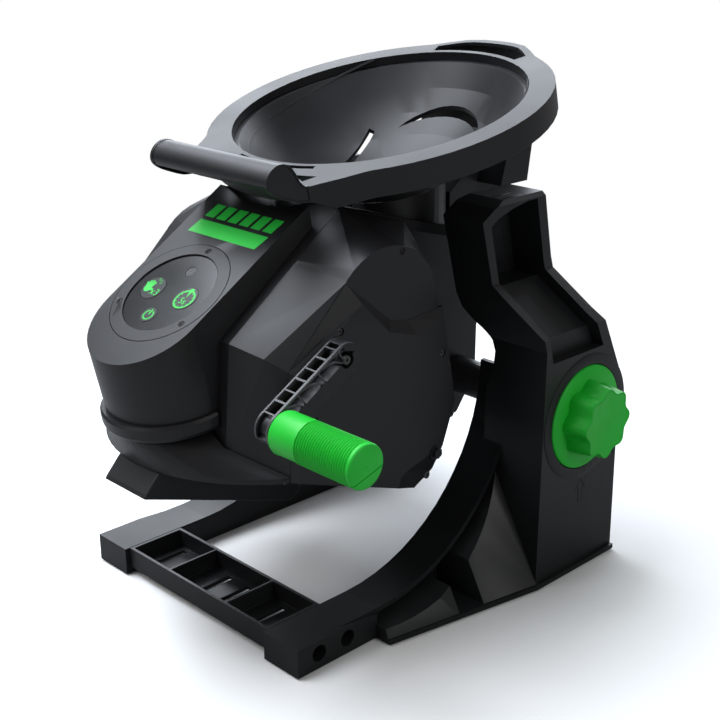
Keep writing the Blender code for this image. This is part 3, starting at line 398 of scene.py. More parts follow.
def facing_right(x, y, z):
    return Matrix.Translation(at(x, y, z)) @ TO_THE_SIDE @ SHRINK


ON_STAND = Matrix.Translation(STAND) @ SHRINK
ON_PANEL = sloping(PANEL_CORNER, PANEL_TILT)
ON_RIM = sloping(RIM_CENTRE, RIM_TILT)
print("panel slopes by", PANEL_TILT, "degrees, rim by", RIM_TILT)

# %% [markdown]
# Most small parts are a flat outline with a thickness. An outline is one face, and extruding
# it gives a closed slab. Round outlines come from a helper that puts points on an arc.

# %% Slabs and bends
def raise_faces(bm, faces, height):
    """Extrude faces straight up and return the vertices of the new top."""
    grown = bmesh.ops.extrude_face_region(bm, geom=faces)
    top = [v for v in grown["geom"] if isinstance(v, bmesh.types.BMVert)]
    bmesh.ops.translate(bm, vec=(0.0, 0.0, height), verts=top)
    return top


def slab(bm, points, low, high):
    """A flat outline made solid between two heights."""
    face = bm.faces.new([bm.verts.new((x, y, low)) for x, y in points])
    return raise_faces(bm, [face], high - low)


def bend(centre, radius, start, end, steps):
    """Points on an arc, with its angles in degrees."""
    points = []
    for i in range(steps + 1):
        a = math.radians(start + (end - start) * i / steps)
        points.append((centre[0] + radius * math.cos(a), centre[1] + radius * math.sin(a)))
    return points


print("a half circle in 6 steps has", len(bend((0, 0), 1.0, 0, 180, 6)), "points")

# %% [markdown]
# Signs, bars and grooves are lines of even width. Such a line is a slab whose outline runs
# along one side of the line and back along the other. A closed line is a ring of faces
# extruded at once, so that it has no walls inside.

# %% Strokes
def stroke(bm, points, width, low, high, closed=False):
    """A flat line of even width, as printed or engraved strokes have."""
    count = len(points)
    near, far = [], []
    for i, (x, y) in enumerate(points):
        before = Vector(points[i - 1] if closed or i else points[i])
        after = Vector(points[(i + 1) % count] if closed or i < count - 1 else points[i])
        along = (after - before).normalized()
        near.append((x - along.y * width / 2, y + along.x * width / 2))
        far.append((x + along.y * width / 2, y - along.x * width / 2))
    if not closed:
        return slab(bm, near + far[::-1], low, high)
    inner = [bm.verts.new((x, y, low)) for x, y in near]
    outer = [bm.verts.new((x, y, low)) for x, y in far]
    ring = []
    for i in range(count):
        j = (i + 1) % count
        ring.append(bm.faces.new((inner[i], inner[j], outer[j], outer[i])))
    return raise_faces(bm, ring, high - low)


trial = bmesh.new()
stroke(trial, [(0.0, 0.0), (10.0, 0.0)], 1.0, 0.0, 1.0)
print("a straight stroke is closed by", len(trial.faces), "faces")
trial.free()

# %% [markdown]
# Turned parts, such as the knob's flange and the grip, are a profile of radius and height that
# is spun a full turn. The ends of the turn are merged, and the normals are recalculated, as a
# spin can leave a shape inside out.

# %% Spun shapes
def spun(profile, steps):
    bm = bmesh.new()
    verts = [bm.verts.new((radius, 0.0, height)) for radius, height in profile]
    edges = [bm.edges.new(pair) for pair in zip(verts, verts[1:])]
    bmesh.ops.spin(bm, geom=verts + edges, cent=(0.0, 0.0, 0.0), axis=(0, 0, 1),
                   angle=math.tau, steps=steps, use_merge=True)
    bmesh.ops.remove_doubles(bm, verts=bm.verts, dist=0.0005)
    bmesh.ops.recalc_face_normals(bm, faces=bm.faces)
    return bm


def drum(bm, radius, low, high, x=0.0, y=0.0, segments=24, top_radius=None):
    """A round bar standing on the drawing plane."""
    made = bmesh.ops.create_cone(bm, cap_ends=True, segments=segments, radius1=radius,
                                 radius2=radius if top_radius is None else top_radius,
                                 depth=high - low)
    bmesh.ops.translate(bm, vec=(x, y, (low + high) / 2), verts=made["verts"])


trial = spun([(5.0, 0.0), (5.0, 1.0)], 12)
print("a plain ring in 12 steps has", len(trial.faces), "faces")
trial.free()

# %% [markdown]
# A finished piece needs an object, a finish, a body to ride on and, where it stands in for a
# CAD node, the name of that node. Two small helpers do this for every piece, so that none is
# left behind when a joint moves. Corners sharper than an angle stay crisp, the rest is smooth.

# %% Pieces and their hand-over
def piece(name, bm, sharp=None):
    mesh = bpy.data.meshes.new(name)
    bm.to_mesh(mesh)
    bm.free()
    mesh.shade_smooth()
    if sharp:
        mesh.set_sharp_from_angle(angle=math.radians(sharp))
    ob = bpy.data.objects.new(name, mesh)
    scene.collection.objects.link(ob)
    return ob


def finish_piece(ob, mat, body, replaced=None):
    ob.data.materials.clear()
    ob.data.materials.append(mat)
    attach(ob, body)
    if replaced:
        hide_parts(replaced)
    print(ob.name, "rides on", body, "with", len(ob.data.polygons), "faces")
    return ob


def outward(bm, matrix):
    """Lay a drawing on the launcher and turn all its faces outwards."""
    bm.transform(matrix)
    bmesh.ops.recalc_face_normals(bm, faces=bm.faces)
    return bm


# %% [markdown]
# Holes are cut with a Boolean modifier whose result is applied at once. The cutter is a closed
# mesh of its own and is thrown away after the cut, so that only the piece stays.

# %% Cutting helper
def hollow_out(ob, cutters):
    for bm in cutters:
        tool = piece("tool", bm)
        step = ob.modifiers.new("cut", "BOOLEAN")
        step.operation = "DIFFERENCE"
        step.solver = "EXACT"
        step.object = tool
        graph = bpy.context.evaluated_depsgraph_get()
        done = bpy.data.meshes.new_from_object(ob.evaluated_get(graph))
        ob.modifiers.clear()
        spare = ob.data
        ob.data = done
        bpy.data.meshes.remove(spare)
        bpy.data.objects.remove(tool, do_unlink=True)


def crisp(ob, degrees):
    ob.data.shade_smooth()
    ob.data.set_sharp_from_angle(angle=math.radians(degrees))


def soften_edges(ob, width, segments, degrees):
    """A live Bevel that rounds each corner over the angle and keeps large faces flat."""
    soften = ob.modifiers.new("edges", "BEVEL")
    soften.width = width * MM
    soften.segments = segments
    soften.limit_method = "ANGLE"
    soften.angle_limit = math.radians(degrees)
    soften.harden_normals = True
    return soften


# %% [markdown]
# A moulded part has no knife edges. A copy of the node's mesh is welded, its flat faces are
# made whole again, and a Bevel modifier rounds each real corner. Hardened normals keep the
# large faces flat, so that only the rounding catches the light.

# %% Rounded copies of the moulded nodes
WELD = 0.00002
FLAT_WITHIN = 0.6


def rounded(node, width, crease=13.0, carve=None):
    bm = bmesh.new()
    bm.from_mesh(frame["nodes"][node].data)
    bmesh.ops.remove_doubles(bm, verts=bm.verts, dist=WELD)
    bmesh.ops.dissolve_degenerate(bm, edges=bm.edges, dist=WELD)
    bmesh.ops.dissolve_limit(bm, angle_limit=math.radians(FLAT_WITHIN), verts=bm.verts,
                             edges=bm.edges)
    ob = piece(node + "_shell", bm)
    if carve:
        hollow_out(ob, carve)
    crisp(ob, crease)
    soften = soften_edges(ob, width, 2, crease)
    soften.use_clamp_overlap = True
    soften.miter_outer = "MITER_ARC"
    return finish_piece(ob, material_of[node], body_of[node], node)


print("flat faces within", FLAT_WITHIN, "degrees are joined")

# %% [markdown]
# The table gives each moulded node its own rounding in millimetres: more on the case and the
# battery box, less on thin covers. The side cases are faceted, so only their real corners may
# be rounded, and they get a wider angle.

# %% Shells of the moulded nodes
SHELLS = {
    "right_side_frame": 1.2, "left_side_frame": 1.2, "front_tray": 0.6, "main_case": 1.3,
    "right_side_case": 0.9, "left_side_case": 0.9, "right_side_cover": 0.7,
    "left_side_cover": 0.7, "base_pan": 0.9, "battery_box": 2.0, "rear_bracket": 1.2,
    "bowl": 0.8, "bowl_neck": 0.6, "left_pivot_cap": 1.5, "bezel_ring": 0.4,
}
SIDE_CASE_CREASE = 28.0
for node, width in SHELLS.items():
    if "side_case" in node:
        rounded(node, width, SIDE_CASE_CREASE)
    else:
        rounded(node, width)
print(len(SHELLS), "rounded shells")

# %% [markdown]
# The rim of the bowl has narrow vents beside the front handle and a three-sided opening in each
# wing. They are cut out of the rim's copy before its edges are rounded, so they are real holes.

# %% Rim of the bowl with its vents
VENT_IN, VENT_OUT = 117.0, 121.4
WING = [(40.5, -126.0), (58.5, -121.5), (55.0, -131.5)]


def vent(start, end):
    bm = bmesh.new()
    slab(bm, bend((0, 0), VENT_OUT, start, end, 6) + bend((0, 0), VENT_IN, end, start, 6), -6, 5)
    return outward(bm, ON_RIM)


def wing_opening(side):
    bm = bmesh.new()
    slab(bm, [(side * x, y) for x, y in WING], -10, 5)
    return outward(bm, ON_RIM)


rounded("bowl_rim", 1.0,
        carve=[vent(-104.5, -94.0), vent(-83.0, -68.0), wing_opening(1), wing_opening(-1)])

# %% [markdown]
# The front handle is one sheet rolled into a grip. Seen from the side it is a single line: off
# the rim, up through a hollow curve and round the roll. A few measured points give that line,
# and a curve through all of them keeps it smooth.

# %% Line of the front handle
SEAM = -135.4
OVER = [(SEAM, 0.12), (-138.6, 0.9), (-141.4, 5.0), (-143.0, 10.8), (-145.6, 16.8), (-150.0, 20.8),
        (-155.5, 22.3), (-161.5, 21.0), (-166.2, 17.4), (-168.0, 12.6), (-166.6, 8.2)]
UNDER = [(-162.6, 3.8), (-155.8, -1.4), (-146.0, -7.6), (SEAM, -11.6)]


def smooth_line(points, steps):
    """A line through all the points, with the slope at each taken from its neighbours."""
    ends = [points[0]] + points + [points[-1]]
    line = []
    for p0, p1, p2, p3 in zip(ends, ends[1:], ends[2:], ends[3:]):
        for i in range(steps):
            t = i / steps
            line.append(tuple(
                0.5 * (2 * b + (c - a) * t + (2 * a - 5 * b + 4 * c - d) * t * t
                       + (3 * b - a - 3 * c + d) * t ** 3) for a, b, c, d in zip(p0, p1, p2, p3)))
    return line + [points[-1]]


def beside(line, distance):
    """The same line moved sideways, which gives a sheet its second face."""
    moved = []
    for i, (x, y) in enumerate(line):
        after = Vector(line[min(i + 1, len(line) - 1)])
        along = (after - Vector(line[max(i - 1, 0)])).normalized()
        moved.append((x - along.y * distance, y + along.x * distance))
    return moved


outside = smooth_line(OVER, 6)
print("the handle's line has", len(outside), "points")

# %% [markdown]
# The sheet is that line with a second one beside it, extruded across the launcher. A cheek
# closes each end: the same outline, made whole along its underside, with a thin raised edge,
# which is an inset pushed inwards. Near the rim it flares outwards to meet the wing.

# %% Sheet and cheeks of the front handle
HANDLE_HALF = 61.5
SHEET = 2.8
CHEEK_IN, CHEEK_OUT = 60.7, 63.5
FLARE, FLARE_START, FLARE_LENGTH = 2.65, -152.0, 15.0
bm = bmesh.new()
slab(bm, outside + beside(outside, SHEET)[::-1], -HANDLE_HALF, HANDLE_HALF)
sheet = piece("handle_sheet", outward(bm, ON_RIM @ TO_THE_SIDE), sharp=30.0)
finish_piece(sheet, bowl_charcoal, "head", "front_handle")
for side, word in ((-1, "left"), (1, "right")):
    bm = bmesh.new()
    slab(bm, beside(smooth_line(OVER + UNDER, 6), -0.35), CHEEK_IN, CHEEK_OUT)
    face = max(bm.faces, key=lambda f: f.calc_center_median().z)
    bmesh.ops.inset_region(bm, faces=[face], thickness=1.0, depth=0.0)
    bmesh.ops.inset_region(bm, faces=[face], thickness=0.3, depth=-0.8)
    for v in bm.verts:
        towards_rim = min(max((v.co.x - FLARE_START) / FLARE_LENGTH, 0.0), 1.0)
        v.co.z = side * (v.co.z + FLARE * towards_rim ** 2)
    cheek = piece("handle_cheek_" + word, outward(bm, ON_RIM @ TO_THE_SIDE), sharp=30.0)
    finish_piece(cheek, bowl_charcoal, "head", None)

# %% [markdown]
# Inside the bowl a raised line runs round the front and climbs to the rim on both sides. Its
# height depends on the direction only: level round the front, then rising ever faster, so one
# small function describes the whole line.

# %% Line of the ridge in the bowl
BOWL_RADIUS, SPHERE_CENTRE = 113.5, 64.6
SPHERE_RADIUS = math.hypot(BOWL_RADIUS, SPHERE_CENTRE)
FRONT, HALF_TURN = 270.0, 134.0
LEVEL_UNTIL, CLIMB_OVER = 82.0, 52.0
LOW, RISE = -15.0, 14.0
# Height off the sphere and distance along it, round the ridge's section
SECTION = ((-1.0, -1.6), (0.55, -0.9), (0.75, 0.0), (0.55, 0.9), (-1.0, 1.6))


def ridge_height(angle):
    off = abs((angle - FRONT + 180.0) % 360.0 - 180.0)
    climb = min(max((off - LEVEL_UNTIL) / CLIMB_OVER, 0.0), 1.0)
    return LOW + RISE * climb ** 1.5


print("the ridge climbs from", -ridge_height(FRONT), "to",
      round(-ridge_height(FRONT + HALF_TURN), 1), "mm below the rim")

# %% [markdown]
# The ridge itself is one small section, repeated along that line. Each station lies on the
# sphere and leans towards its centre, and the stations are joined one after another. A curve
# with a bevel would twist here, because the line turns in two directions.

# %% Ridge inside the bowl
bm = bmesh.new()
stations = []
for i in range(97):
    degrees = FRONT - HALF_TURN + 2 * HALF_TURN * i / 96
    z = ridge_height(degrees)
    r = math.sqrt(SPHERE_RADIUS ** 2 - (SPHERE_CENTRE - z) ** 2)
    a = math.radians(degrees)
    base = Vector((r * math.cos(a), r * math.sin(a), z))
    inward = (Vector((0.0, 0.0, SPHERE_CENTRE)) - base).normalized()
    upward = Vector((-math.sin(a), math.cos(a), 0.0)).cross(inward).normalized()
    if upward.z < 0:
        upward.negate()
    stations.append([bm.verts.new(base + inward * h + upward * w) for h, w in SECTION])
for one, two in zip(stations, stations[1:]):
    for k in range(4):
        bm.faces.new((one[k], one[k + 1], two[k + 1], two[k]))
    bm.faces.new((one[4], one[0], two[0], two[4]))
bm.faces.new(stations[0])
bm.faces.new(stations[-1][::-1])
ridge = piece("bowl_ridge", outward(bm, ON_RIM), sharp=50.0)
finish_piece(ridge, bowl_charcoal, "head", None)

# %% [markdown]
# The clamp knob is one green moulding: a grip of eight lobes that gets slightly narrower
# outwards, on a thin round flange. The outline of the grip is a circle whose radius dips eight
# times. It is extruded, its top is scaled, and the top face gets a shallow inset.

# %% Grip of the clamp knob
KNOB_AXIS = facing_right(*TILT_AXIS)
LOBES, LOBE_RADIUS, LOBE_DIP = 8, 31.0, 4.6
KNOB_FOOT, KNOB_TOP, TOP_SCALE = 158.4, 178.6, 0.91


def lobed_circle(radius, dip, count, steps):
    points = []
    for i in range(count * steps):
        a = math.tau * i / (count * steps)
        r = radius - dip * (0.5 - 0.5 * math.cos(count * a))
        points.append((r * math.cos(a), r * math.sin(a)))
    return points


bm = bmesh.new()
crown = slab(bm, lobed_circle(LOBE_RADIUS, LOBE_DIP, LOBES, 10), KNOB_FOOT, KNOB_TOP)
bmesh.ops.scale(bm, vec=(TOP_SCALE, TOP_SCALE, 1.0), verts=crown)
top_face = [f for f in bm.faces if all(v in crown for v in f.verts)]
bmesh.ops.inset_region(bm, faces=top_face, thickness=1.1, depth=0.0)
bmesh.ops.inset_region(bm, faces=top_face, thickness=0.3, depth=-0.5)
grip_edges = [e for e in bm.edges if e.is_manifold and e.calc_face_angle() > 0.6]
bmesh.ops.bevel(bm, geom=grip_edges, offset=0.5, segments=2, profile=0.5, affect="EDGES",
                material=-1)
bmesh.ops.recalc_face_normals(bm, faces=bm.faces)
bm.transform(KNOB_AXIS)
finish_piece(piece("knob_grip", bm, sharp=35.0), grip_green, "knob", "clamp_knob")

# %% [markdown]
# The flange under the grip is round, so it is simply turned. It keeps a bore for the clamp
# bolt and a small chamfer on its rim, which catches the light as a thin line.

# %% Flange of the clamp knob
FLANGE = [(5.3, 152.9), (40.6, 152.9), (41.3, 153.5), (41.4, 157.6), (40.4, 158.5), (5.3, 158.5),
          (5.3, 152.9)]
bm = spun(FLANGE, 96)
bm.transform(KNOB_AXIS)
finish_piece(piece("knob_flange", bm, sharp=50.0), grip_green, "knob", None)

# %% [markdown]
# The ring around the knob is the angle scale. It tilts with the head, behind an arrow that
# stands still on the frame, so the number at the arrow is the set angle. The ring is one
# turned piece: a flat face on a sleeve that reaches into the frame.

# %% Scale ring
RING_FACE = 157.5
DIAL = [(41.9, 149.5), (46.0, 149.5), (46.0, 157.02), (50.6, 157.02), (50.6, 157.3),
        (50.2, RING_FACE), (42.4, RING_FACE), (41.9, 157.1), (41.9, 149.5)]
bm = spun(DIAL, 96)
bm.transform(KNOB_AXIS)
ring = piece("scale_dial", bm, sharp=35.0)
finish_piece(ring, frame_black, "head", "scale_ring")

# %% [markdown]
# Numbers start as Blender text. The text is made a mesh while it still lies flat at the origin,
# and only then is it placed, so that the finished piece is a plain mesh like all the others.

# %% Helper for numbers
def lettering(name, words, size, matrix, mat, body, thick=0.12):
    curve = bpy.data.curves.new(name, "FONT")
    curve.body = words
    curve.size = size
    curve.align_x = "CENTER"
    curve.align_y = "CENTER"
    curve.extrude = thick
    curve.resolution_u = 4
    text = bpy.data.objects.new(name, curve)
    scene.collection.objects.link(text)
    bpy.context.view_layer.update()
    mesh = bpy.data.meshes.new_from_object(text)
    bpy.data.objects.remove(text, do_unlink=True)
    bm = bmesh.new()
    bm.from_mesh(mesh)
    bpy.data.meshes.remove(mesh)
    bmesh.ops.remove_doubles(bm, verts=bm.verts, dist=0.0005)
    bm.transform(matrix)
    return finish_piece(piece(name, bm, sharp=30.0), mat, body, None)


# %% [markdown]
# The ring carries the numbers 1 to 5 in an even row below the knob, each turned to face the
# middle. They are dark grey on black: on the real ring they are small and easy to miss too.

# %% Numbers on the scale ring
NUMBER_RADIUS, NUMBER_SIZE = 46.7, 5.6
for number, degrees in zip("12345", (-106.4, -95.6, -84.8, -74.0, -63.2)):
    a = math.radians(degrees)
    spot = Matrix.Translation((NUMBER_RADIUS * math.cos(a), NUMBER_RADIUS * math.sin(a),
                               RING_FACE))
    turned = Matrix.Rotation(a + math.pi / 2, 4, "Z")
    lettering("scale_number_" + number, number, NUMBER_SIZE, KNOB_AXIS @ spot @ turned,
              tube_grey, "head")

# %% [markdown]
# The arrow is only an outline. It is drawn as one closed line and laid on the frame in a
# darker black, which is painted shade: it stands in for the shade inside an engraved line on the
# matt plastic.

# %% Arrow on the frame
FRAME_SIDE = 157.0
ARROW = [(265.2, 77.0), (271.0, 69.8), (267.6, 69.8), (267.6, 58.2), (262.8, 58.2),
         (262.8, 69.8), (259.4, 69.8)]
# A near-black finish: the real black of the bezel screws, and painted shade in holes, grooves,
# slots, the engraved arrow and behind the crank arm's bars.
black_and_painted_shade = moulded("black_and_painted_shade_finish", (0.002, 0.002, 0.002), (0.003, 0.003, 0.003), 900.0, (0.55, 0.65), 0.05)
bm = bmesh.new()
stroke(bm, ARROW, 0.8, -0.3, 0.08, closed=True)
arrow = piece("setting_arrow", outward(bm, facing_right(FRAME_SIDE, 0.0, 0.0)))
finish_piece(arrow, black_and_painted_shade, "stand", None)

# %% [markdown]
# Screws sit at the bottom of round holes in the covers. Each head is a short drum with a
# rounded edge and a socket pressed into it, which is an inset and a push inwards. One helper
# makes every screw, so all of them have the same proportions.

# %% Cover screws
COVER_SCREWS = [(56.7, 236.0), (158.5, 195.5), (171.0, 144.0), (147.2, 100.8), (32.4, 179.2)]
HEAD_LOW, HEAD_HIGH = 101.3, 103.6
# The fourth hole lies on the slanted wedge, so its screw sits deeper
SUNK = {"cover_screw_4": 1.5}


def screw_head(node, matrix, radius, low, high, body, mat):
    bm = bmesh.new()
    drum(bm, radius, low, high)
    rim_edges = [e for e in bm.edges if all(v.co.z > high - 0.001 for v in e.verts)]
    bmesh.ops.bevel(bm, geom=rim_edges, offset=radius * 0.12, segments=2, profile=0.5,
                    affect="EDGES", material=-1)
    cap = max(bm.faces, key=lambda f: f.calc_center_median().z - 0.001 * len(f.verts) / 99)
    bmesh.ops.inset_region(bm, faces=[cap], thickness=radius * 0.5, depth=0.0)
    bmesh.ops.inset_region(bm, faces=[cap], thickness=0.05, depth=-(high - low) * 0.6)
    bm.transform(matrix)
    return finish_piece(piece(node + "_head", bm, sharp=35.0), mat, body, node)


for number, (y, z) in enumerate(COVER_SCREWS, 1):
    node = "cover_screw_" + str(number)
    sunk = SUNK.get(node, 0.0)
    screw_head(node, facing_right(0.0, y, z), 2.9, HEAD_LOW - sunk, HEAD_HIGH - sunk, "head",
               screw_steel)

# %% [markdown]
# Three smaller screws hold the bezel ring round the panel. They are spread evenly on a circle,
# so one angle each places them, and they are black, as on the real panel. The screw that holds
# the crank arm on its shaft is the same head again, a little larger, and turns with the crank.

# %% Bezel screws and arm screw
DIAL_CENTRE_Y, SCREW_CIRCLE = -5.7, 40.8
for node, degrees in (("bezel_screw_top", 90), ("bezel_screw_left", 210),
                      ("bezel_screw_right", 330)):
    a = math.radians(degrees)
    spot = Matrix.Translation((SCREW_CIRCLE * math.cos(a),
                               DIAL_CENTRE_Y + SCREW_CIRCLE * math.sin(a), 0.0))
    screw_head(node, ON_PANEL @ spot, 2.0, -0.9, 0.1, "head", black_and_painted_shade)
screw_head("arm_screw", facing_right(*CRANK_AXIS), 3.2, 119.3, 121.5, "crank", screw_steel)

# %% [markdown]
# Two screws lie so deep that only the shaded mouth of their hole shows. A thin black disc in
# the surface is painted shade, which gives the same look as a bore without a cut. A hexagon bolt
# with its washer stands out lower down: two short drums, one with six sides.

# %% Painted shade in deep screw holes, and the hexagon bolt
HOLE_SHADE_DISCS = (
    ("lobe_screw_hole_shade", (99.0, 121.0, 278.0), 2.7, "head", "right_side_case"),
    ("frame_hole_shade", (FRAME_SIDE, 307.0, 88.1), 1.7, "stand", "right_side_frame"),
)
for name, place, radius, body, slot in HOLE_SHADE_DISCS:
    bm = bmesh.new()
    drum(bm, radius, -0.5, 0.1)
    bm.transform(facing_right(*place))
    finish_piece(piece(name, bm), black_and_painted_shade, body, None)
bm = bmesh.new()
drum(bm, 4.6, -0.1, 3.3, segments=6, top_radius=4.3)
drum(bm, 6.0, -0.15, 0.75, segments=32, top_radius=5.8)
bm.transform(facing_right(105.0, 152.6, 118.6))
hex_bolt = piece("hex_bolt", bm, sharp=30.0)
finish_piece(hex_bolt, case_charcoal, "head", None)

# %% [markdown]
# The crank grip is a green sleeve: smooth near the arm, with fine rings along the rest. It is
# spun from one profile, and a loop adds the same five points for every ring, so the count and
# the spacing of the rings stay easy to change.

# %% Sleeve of the crank grip
GRIP_AXIS = facing_right(*GRIP_CENTRE)
RINGS, PITCH, FIRST_RING = 22, 2.1, 149.4
RING_SECTION = ((13.9, 0.15), (13.8, 0.6), (14.8, 0.95), (15.0, 1.35), (14.8, 1.75))
profile = [(4.3, 124.1), (13.6, 124.1), (14.6, 124.8), (15.0, 126.0), (15.0, 149.0)]
for i in range(RINGS):
    profile += [(radius, FIRST_RING + PITCH * i + along) for radius, along in RING_SECTION]
profile += [(14.95, 195.9), (14.6, 197.2), (13.7, 197.9), (0.4, 198.0), (0.4, 190.8),
            (4.3, 190.8), (4.3, 124.1)]
bm = spun(profile, 72)
bm.transform(GRIP_AXIS)
grip = piece("grip_sleeve", bm)
print(RINGS, "rings along", round(RINGS * PITCH, 1), "mm")

# %% [markdown]
# The sleeve is moulded in two halves. Their seam runs along the grip and across its end, with a
# notch near the arm. Each is a thin block, turned to its place and cut out of the sleeve.

# %% Seam and notch of the grip
SEAM_ANGLE = math.radians(-138.0)


def block(size, centre, matrix):
    bm = bmesh.new()
    made = bmesh.ops.create_cube(bm, size=1.0)
    bmesh.ops.scale(bm, vec=size, verts=made["verts"])
    bmesh.ops.translate(bm, vec=centre, verts=made["verts"])
    bm.transform(matrix)
    return bm


along_seam = GRIP_AXIS @ Matrix.Rotation(SEAM_ANGLE - math.pi / 2, 4, "Z")
beside_seam = GRIP_AXIS @ Matrix.Rotation(SEAM_ANGLE - math.pi / 2 + 0.24, 4, "Z")
across_end = GRIP_AXIS @ Matrix.Rotation(math.radians(16.0), 4, "Z")
hollow_out(grip, [block((0.8, 4.0, 90.0), (0.0, 14.9, 182.0), along_seam),
                  block((6.5, 6.0, 20.0), (0.0, 14.0, 136.5), beside_seam),
                  block((27.0, 0.8, 2.0), (0.0, -6.2, 198.1), across_end)])
crisp(grip, 40.0)
finish_piece(grip, grip_green, "grip", "crank_grip")

# %% [markdown]
# The crank arm is half solid, half open. Its lower half is a smooth rail with round ends, drawn
# on a plane that lies along the arm: zero is the shaft, and the far end is the grip. The bores
# for the shaft and the grip's pin are cut through it.

# %% Rail of the crank arm
BACK, DOWN = GRIP_CENTRE[1] - CRANK_AXIS[1], GRIP_CENTRE[2] - CRANK_AXIS[2]
ARM_LENGTH = math.hypot(BACK, DOWN)
ARM_FRAME = facing_right(*CRANK_AXIS) @ Matrix.Rotation(math.atan2(DOWN, BACK), 4, "Z")
SHAFT_BORE, PIN_BORE = 5.4, 4.4


def round_tool(x, radius, low, high, steps=32):
    bm = bmesh.new()
    drum(bm, radius, low, high, x=x, segments=steps)
    bm.transform(ARM_FRAME)
    return bm


def arm_bores():
    return [round_tool(0.0, SHAFT_BORE, 100.0, 130.0),
            round_tool(ARM_LENGTH, PIN_BORE, 100.0, 130.0)]


bm = bmesh.new()
slab(bm, bend((0, 0), 11.8, 90, 262, 24) + [(-1.6, -7.2), (-7.6, -0.8), (ARM_LENGTH + 7.0, -0.8)]
     + bend((ARM_LENGTH, 0), 11.8, -4, 90, 14), 108.1, 121.9)
arm = piece("arm_body", outward(bm, ARM_FRAME))
hollow_out(arm, arm_bores())
crisp(arm, 30.0)
soften_edges(arm, 1.6, 3, 30.0)
finish_piece(arm, case_charcoal, "crank", "crank_arm")
print("arm from shaft to grip:", round(ARM_LENGTH, 1), "mm")

# %% [markdown]
# Above the rail only a frame of thin bars is left. Two long bars run round the grip's end and
# along the arm, one near the case and one outside. Cross bars join them, and curved braces lead
# down to the rail. Each bar is one polyline with a width, so the frame stays easy to change.

# %% Bars of the crank arm
CROSS_BARS, FIRST_BAR, BAR_STEP = 4, 3.0, 20.4
long_bar = bend((ARM_LENGTH, 0), 11.2, 0, -90, 14) + bend((0, 0), 11.2, -90, -150, 8)
bm = bmesh.new()
stroke(bm, long_bar, 1.2, 108.3, 109.7)
stroke(bm, long_bar, 1.9, 119.6, 121.6)
for i in range(CROSS_BARS):
    s = FIRST_BAR + BAR_STEP * i
    slab(bm, [(s - 0.55, -11.7), (s + 0.55, -11.7), (s + 0.55, -10.3), (s - 0.55, -10.3)],
         108.3, 121.4)
    stroke(bm, [(s, -11.0), (s - 0.4, -6.0), (s - 2.0, -0.6)], 1.1, 119.9, 121.3)
    if i < CROSS_BARS - 1:
        brace = [(s + 0.5, -0.6), (s + 5.0, -5.6), (s + 11.0, -8.8), (s + 19.8, -11.0)]
        stroke(bm, brace, 1.0, 119.7, 121.2)
        clip = [(s + 9.0, -10.9), (s + 10.4, -10.9), (s + 10.4, -11.6), (s + 9.0, -11.6)]
        stroke(bm, clip, 0.5, 109.0, 120.0)
bars = piece("arm_bars", outward(bm, ARM_FRAME), sharp=30.0)
# The bars are a lighter grey than the rest of the arm, a painted highlight for the light along
# their edges.
finish_piece(bars, tube_grey, "crank", None)

# %% [markdown]
# Behind the open frame lies a thin near-black wall, which is painted shade: it keeps the case
# from shining through the arm, so the bars show against black. A round hub surrounds the shaft
# and the pin.

# %% Back and hubs of the crank arm
bm = bmesh.new()
around = bend((0, 0), 10.4, 180, 270, 12) + bend((ARM_LENGTH, 0), 10.4, -90, 0, 12)
slab(bm, [(x, min(y, -0.4)) for x, y in around], 108.2, 109.0)
back = piece("arm_shade_wall", outward(bm, ARM_FRAME))
hollow_out(back, arm_bores())
finish_piece(back, black_and_painted_shade, "crank", None)
for name, x, radius, bore, high in (("arm_hub_shaft", 0.0, 7.2, SHAFT_BORE, 118.8),
                                    ("arm_hub_grip", ARM_LENGTH, 8.6, PIN_BORE, 121.8)):
    hub = piece(name, round_tool(x, radius, 108.4, high, 48))
    hollow_out(hub, [round_tool(x, bore, 100.0, 130.0)])
    crisp(hub, 30.0)
    finish_piece(hub, case_charcoal, "crank", None)

# %% [markdown]
# The three keys carry green printed signs: a hand with x3, a stopwatch with 5s, and the usual
# power sign. Every sign is a set of flat strokes with a tenth of a millimetre of height, so the
# print is real geometry and moves with its key. The hand comes first: a round palm, five
# fingers that fan out, and three short dashes beside it. Strokes that cross differ slightly in
# height, so that no two faces share a plane.

# %% Hand sign
KEY_TOP = -0.7
PRINT_LOW, PRINT_HIGH = KEY_TOP - 0.05, KEY_TOP + 0.1
FINGERS = ((-25.6, -6.0, 118, 3.2), (-24.0, -4.9, 104, 3.8), (-22.2, -4.6, 90, 3.9),
           (-20.4, -5.1, 76, 3.5), (-19.4, -8.6, 15, 2.6))
CLAP_LINES = ((70, 5.6), (50, 5.9), (30, 5.6))


def printed(name, bm, mat, body):
    return finish_piece(piece(name, outward(bm, ON_PANEL), sharp=30.0), mat, body, None)


def ray_line(centre, degrees, start, end):
    """A straight line that points away from a centre."""
    a = math.radians(degrees)
    return [(centre[0] + r * math.cos(a), centre[1] + r * math.sin(a)) for r in (start, end)]


bm = bmesh.new()
slab(bm, bend((-22.6, -8.0), 3.5, 0, 345, 22), PRINT_LOW, PRINT_HIGH)
for i, (x, y, lean, reach) in enumerate(FINGERS):
    stroke(bm, ray_line((x, y), lean, -1.0, reach), 1.7, PRINT_LOW, PRINT_HIGH + 0.01 * (i + 1))
for lean, start in CLAP_LINES:
    stroke(bm, ray_line((-21.0, -4.6), lean, start, start + 2.4), 0.5, PRINT_LOW, PRINT_HIGH)
printed("sign_hand", bm, print_green, "clap_button")
lettering("sign_times_three", "x3", 8.4,
          ON_PANEL @ Matrix.Translation((-13.4, -9.6, KEY_TOP + 0.02)), print_green,
          "clap_button", 0.08)

# %% [markdown]
# The stopwatch is a closed ring with short marks inside it, a crown on top and a hand that
# points up. The mark at the top is left out, because the hand ends there.

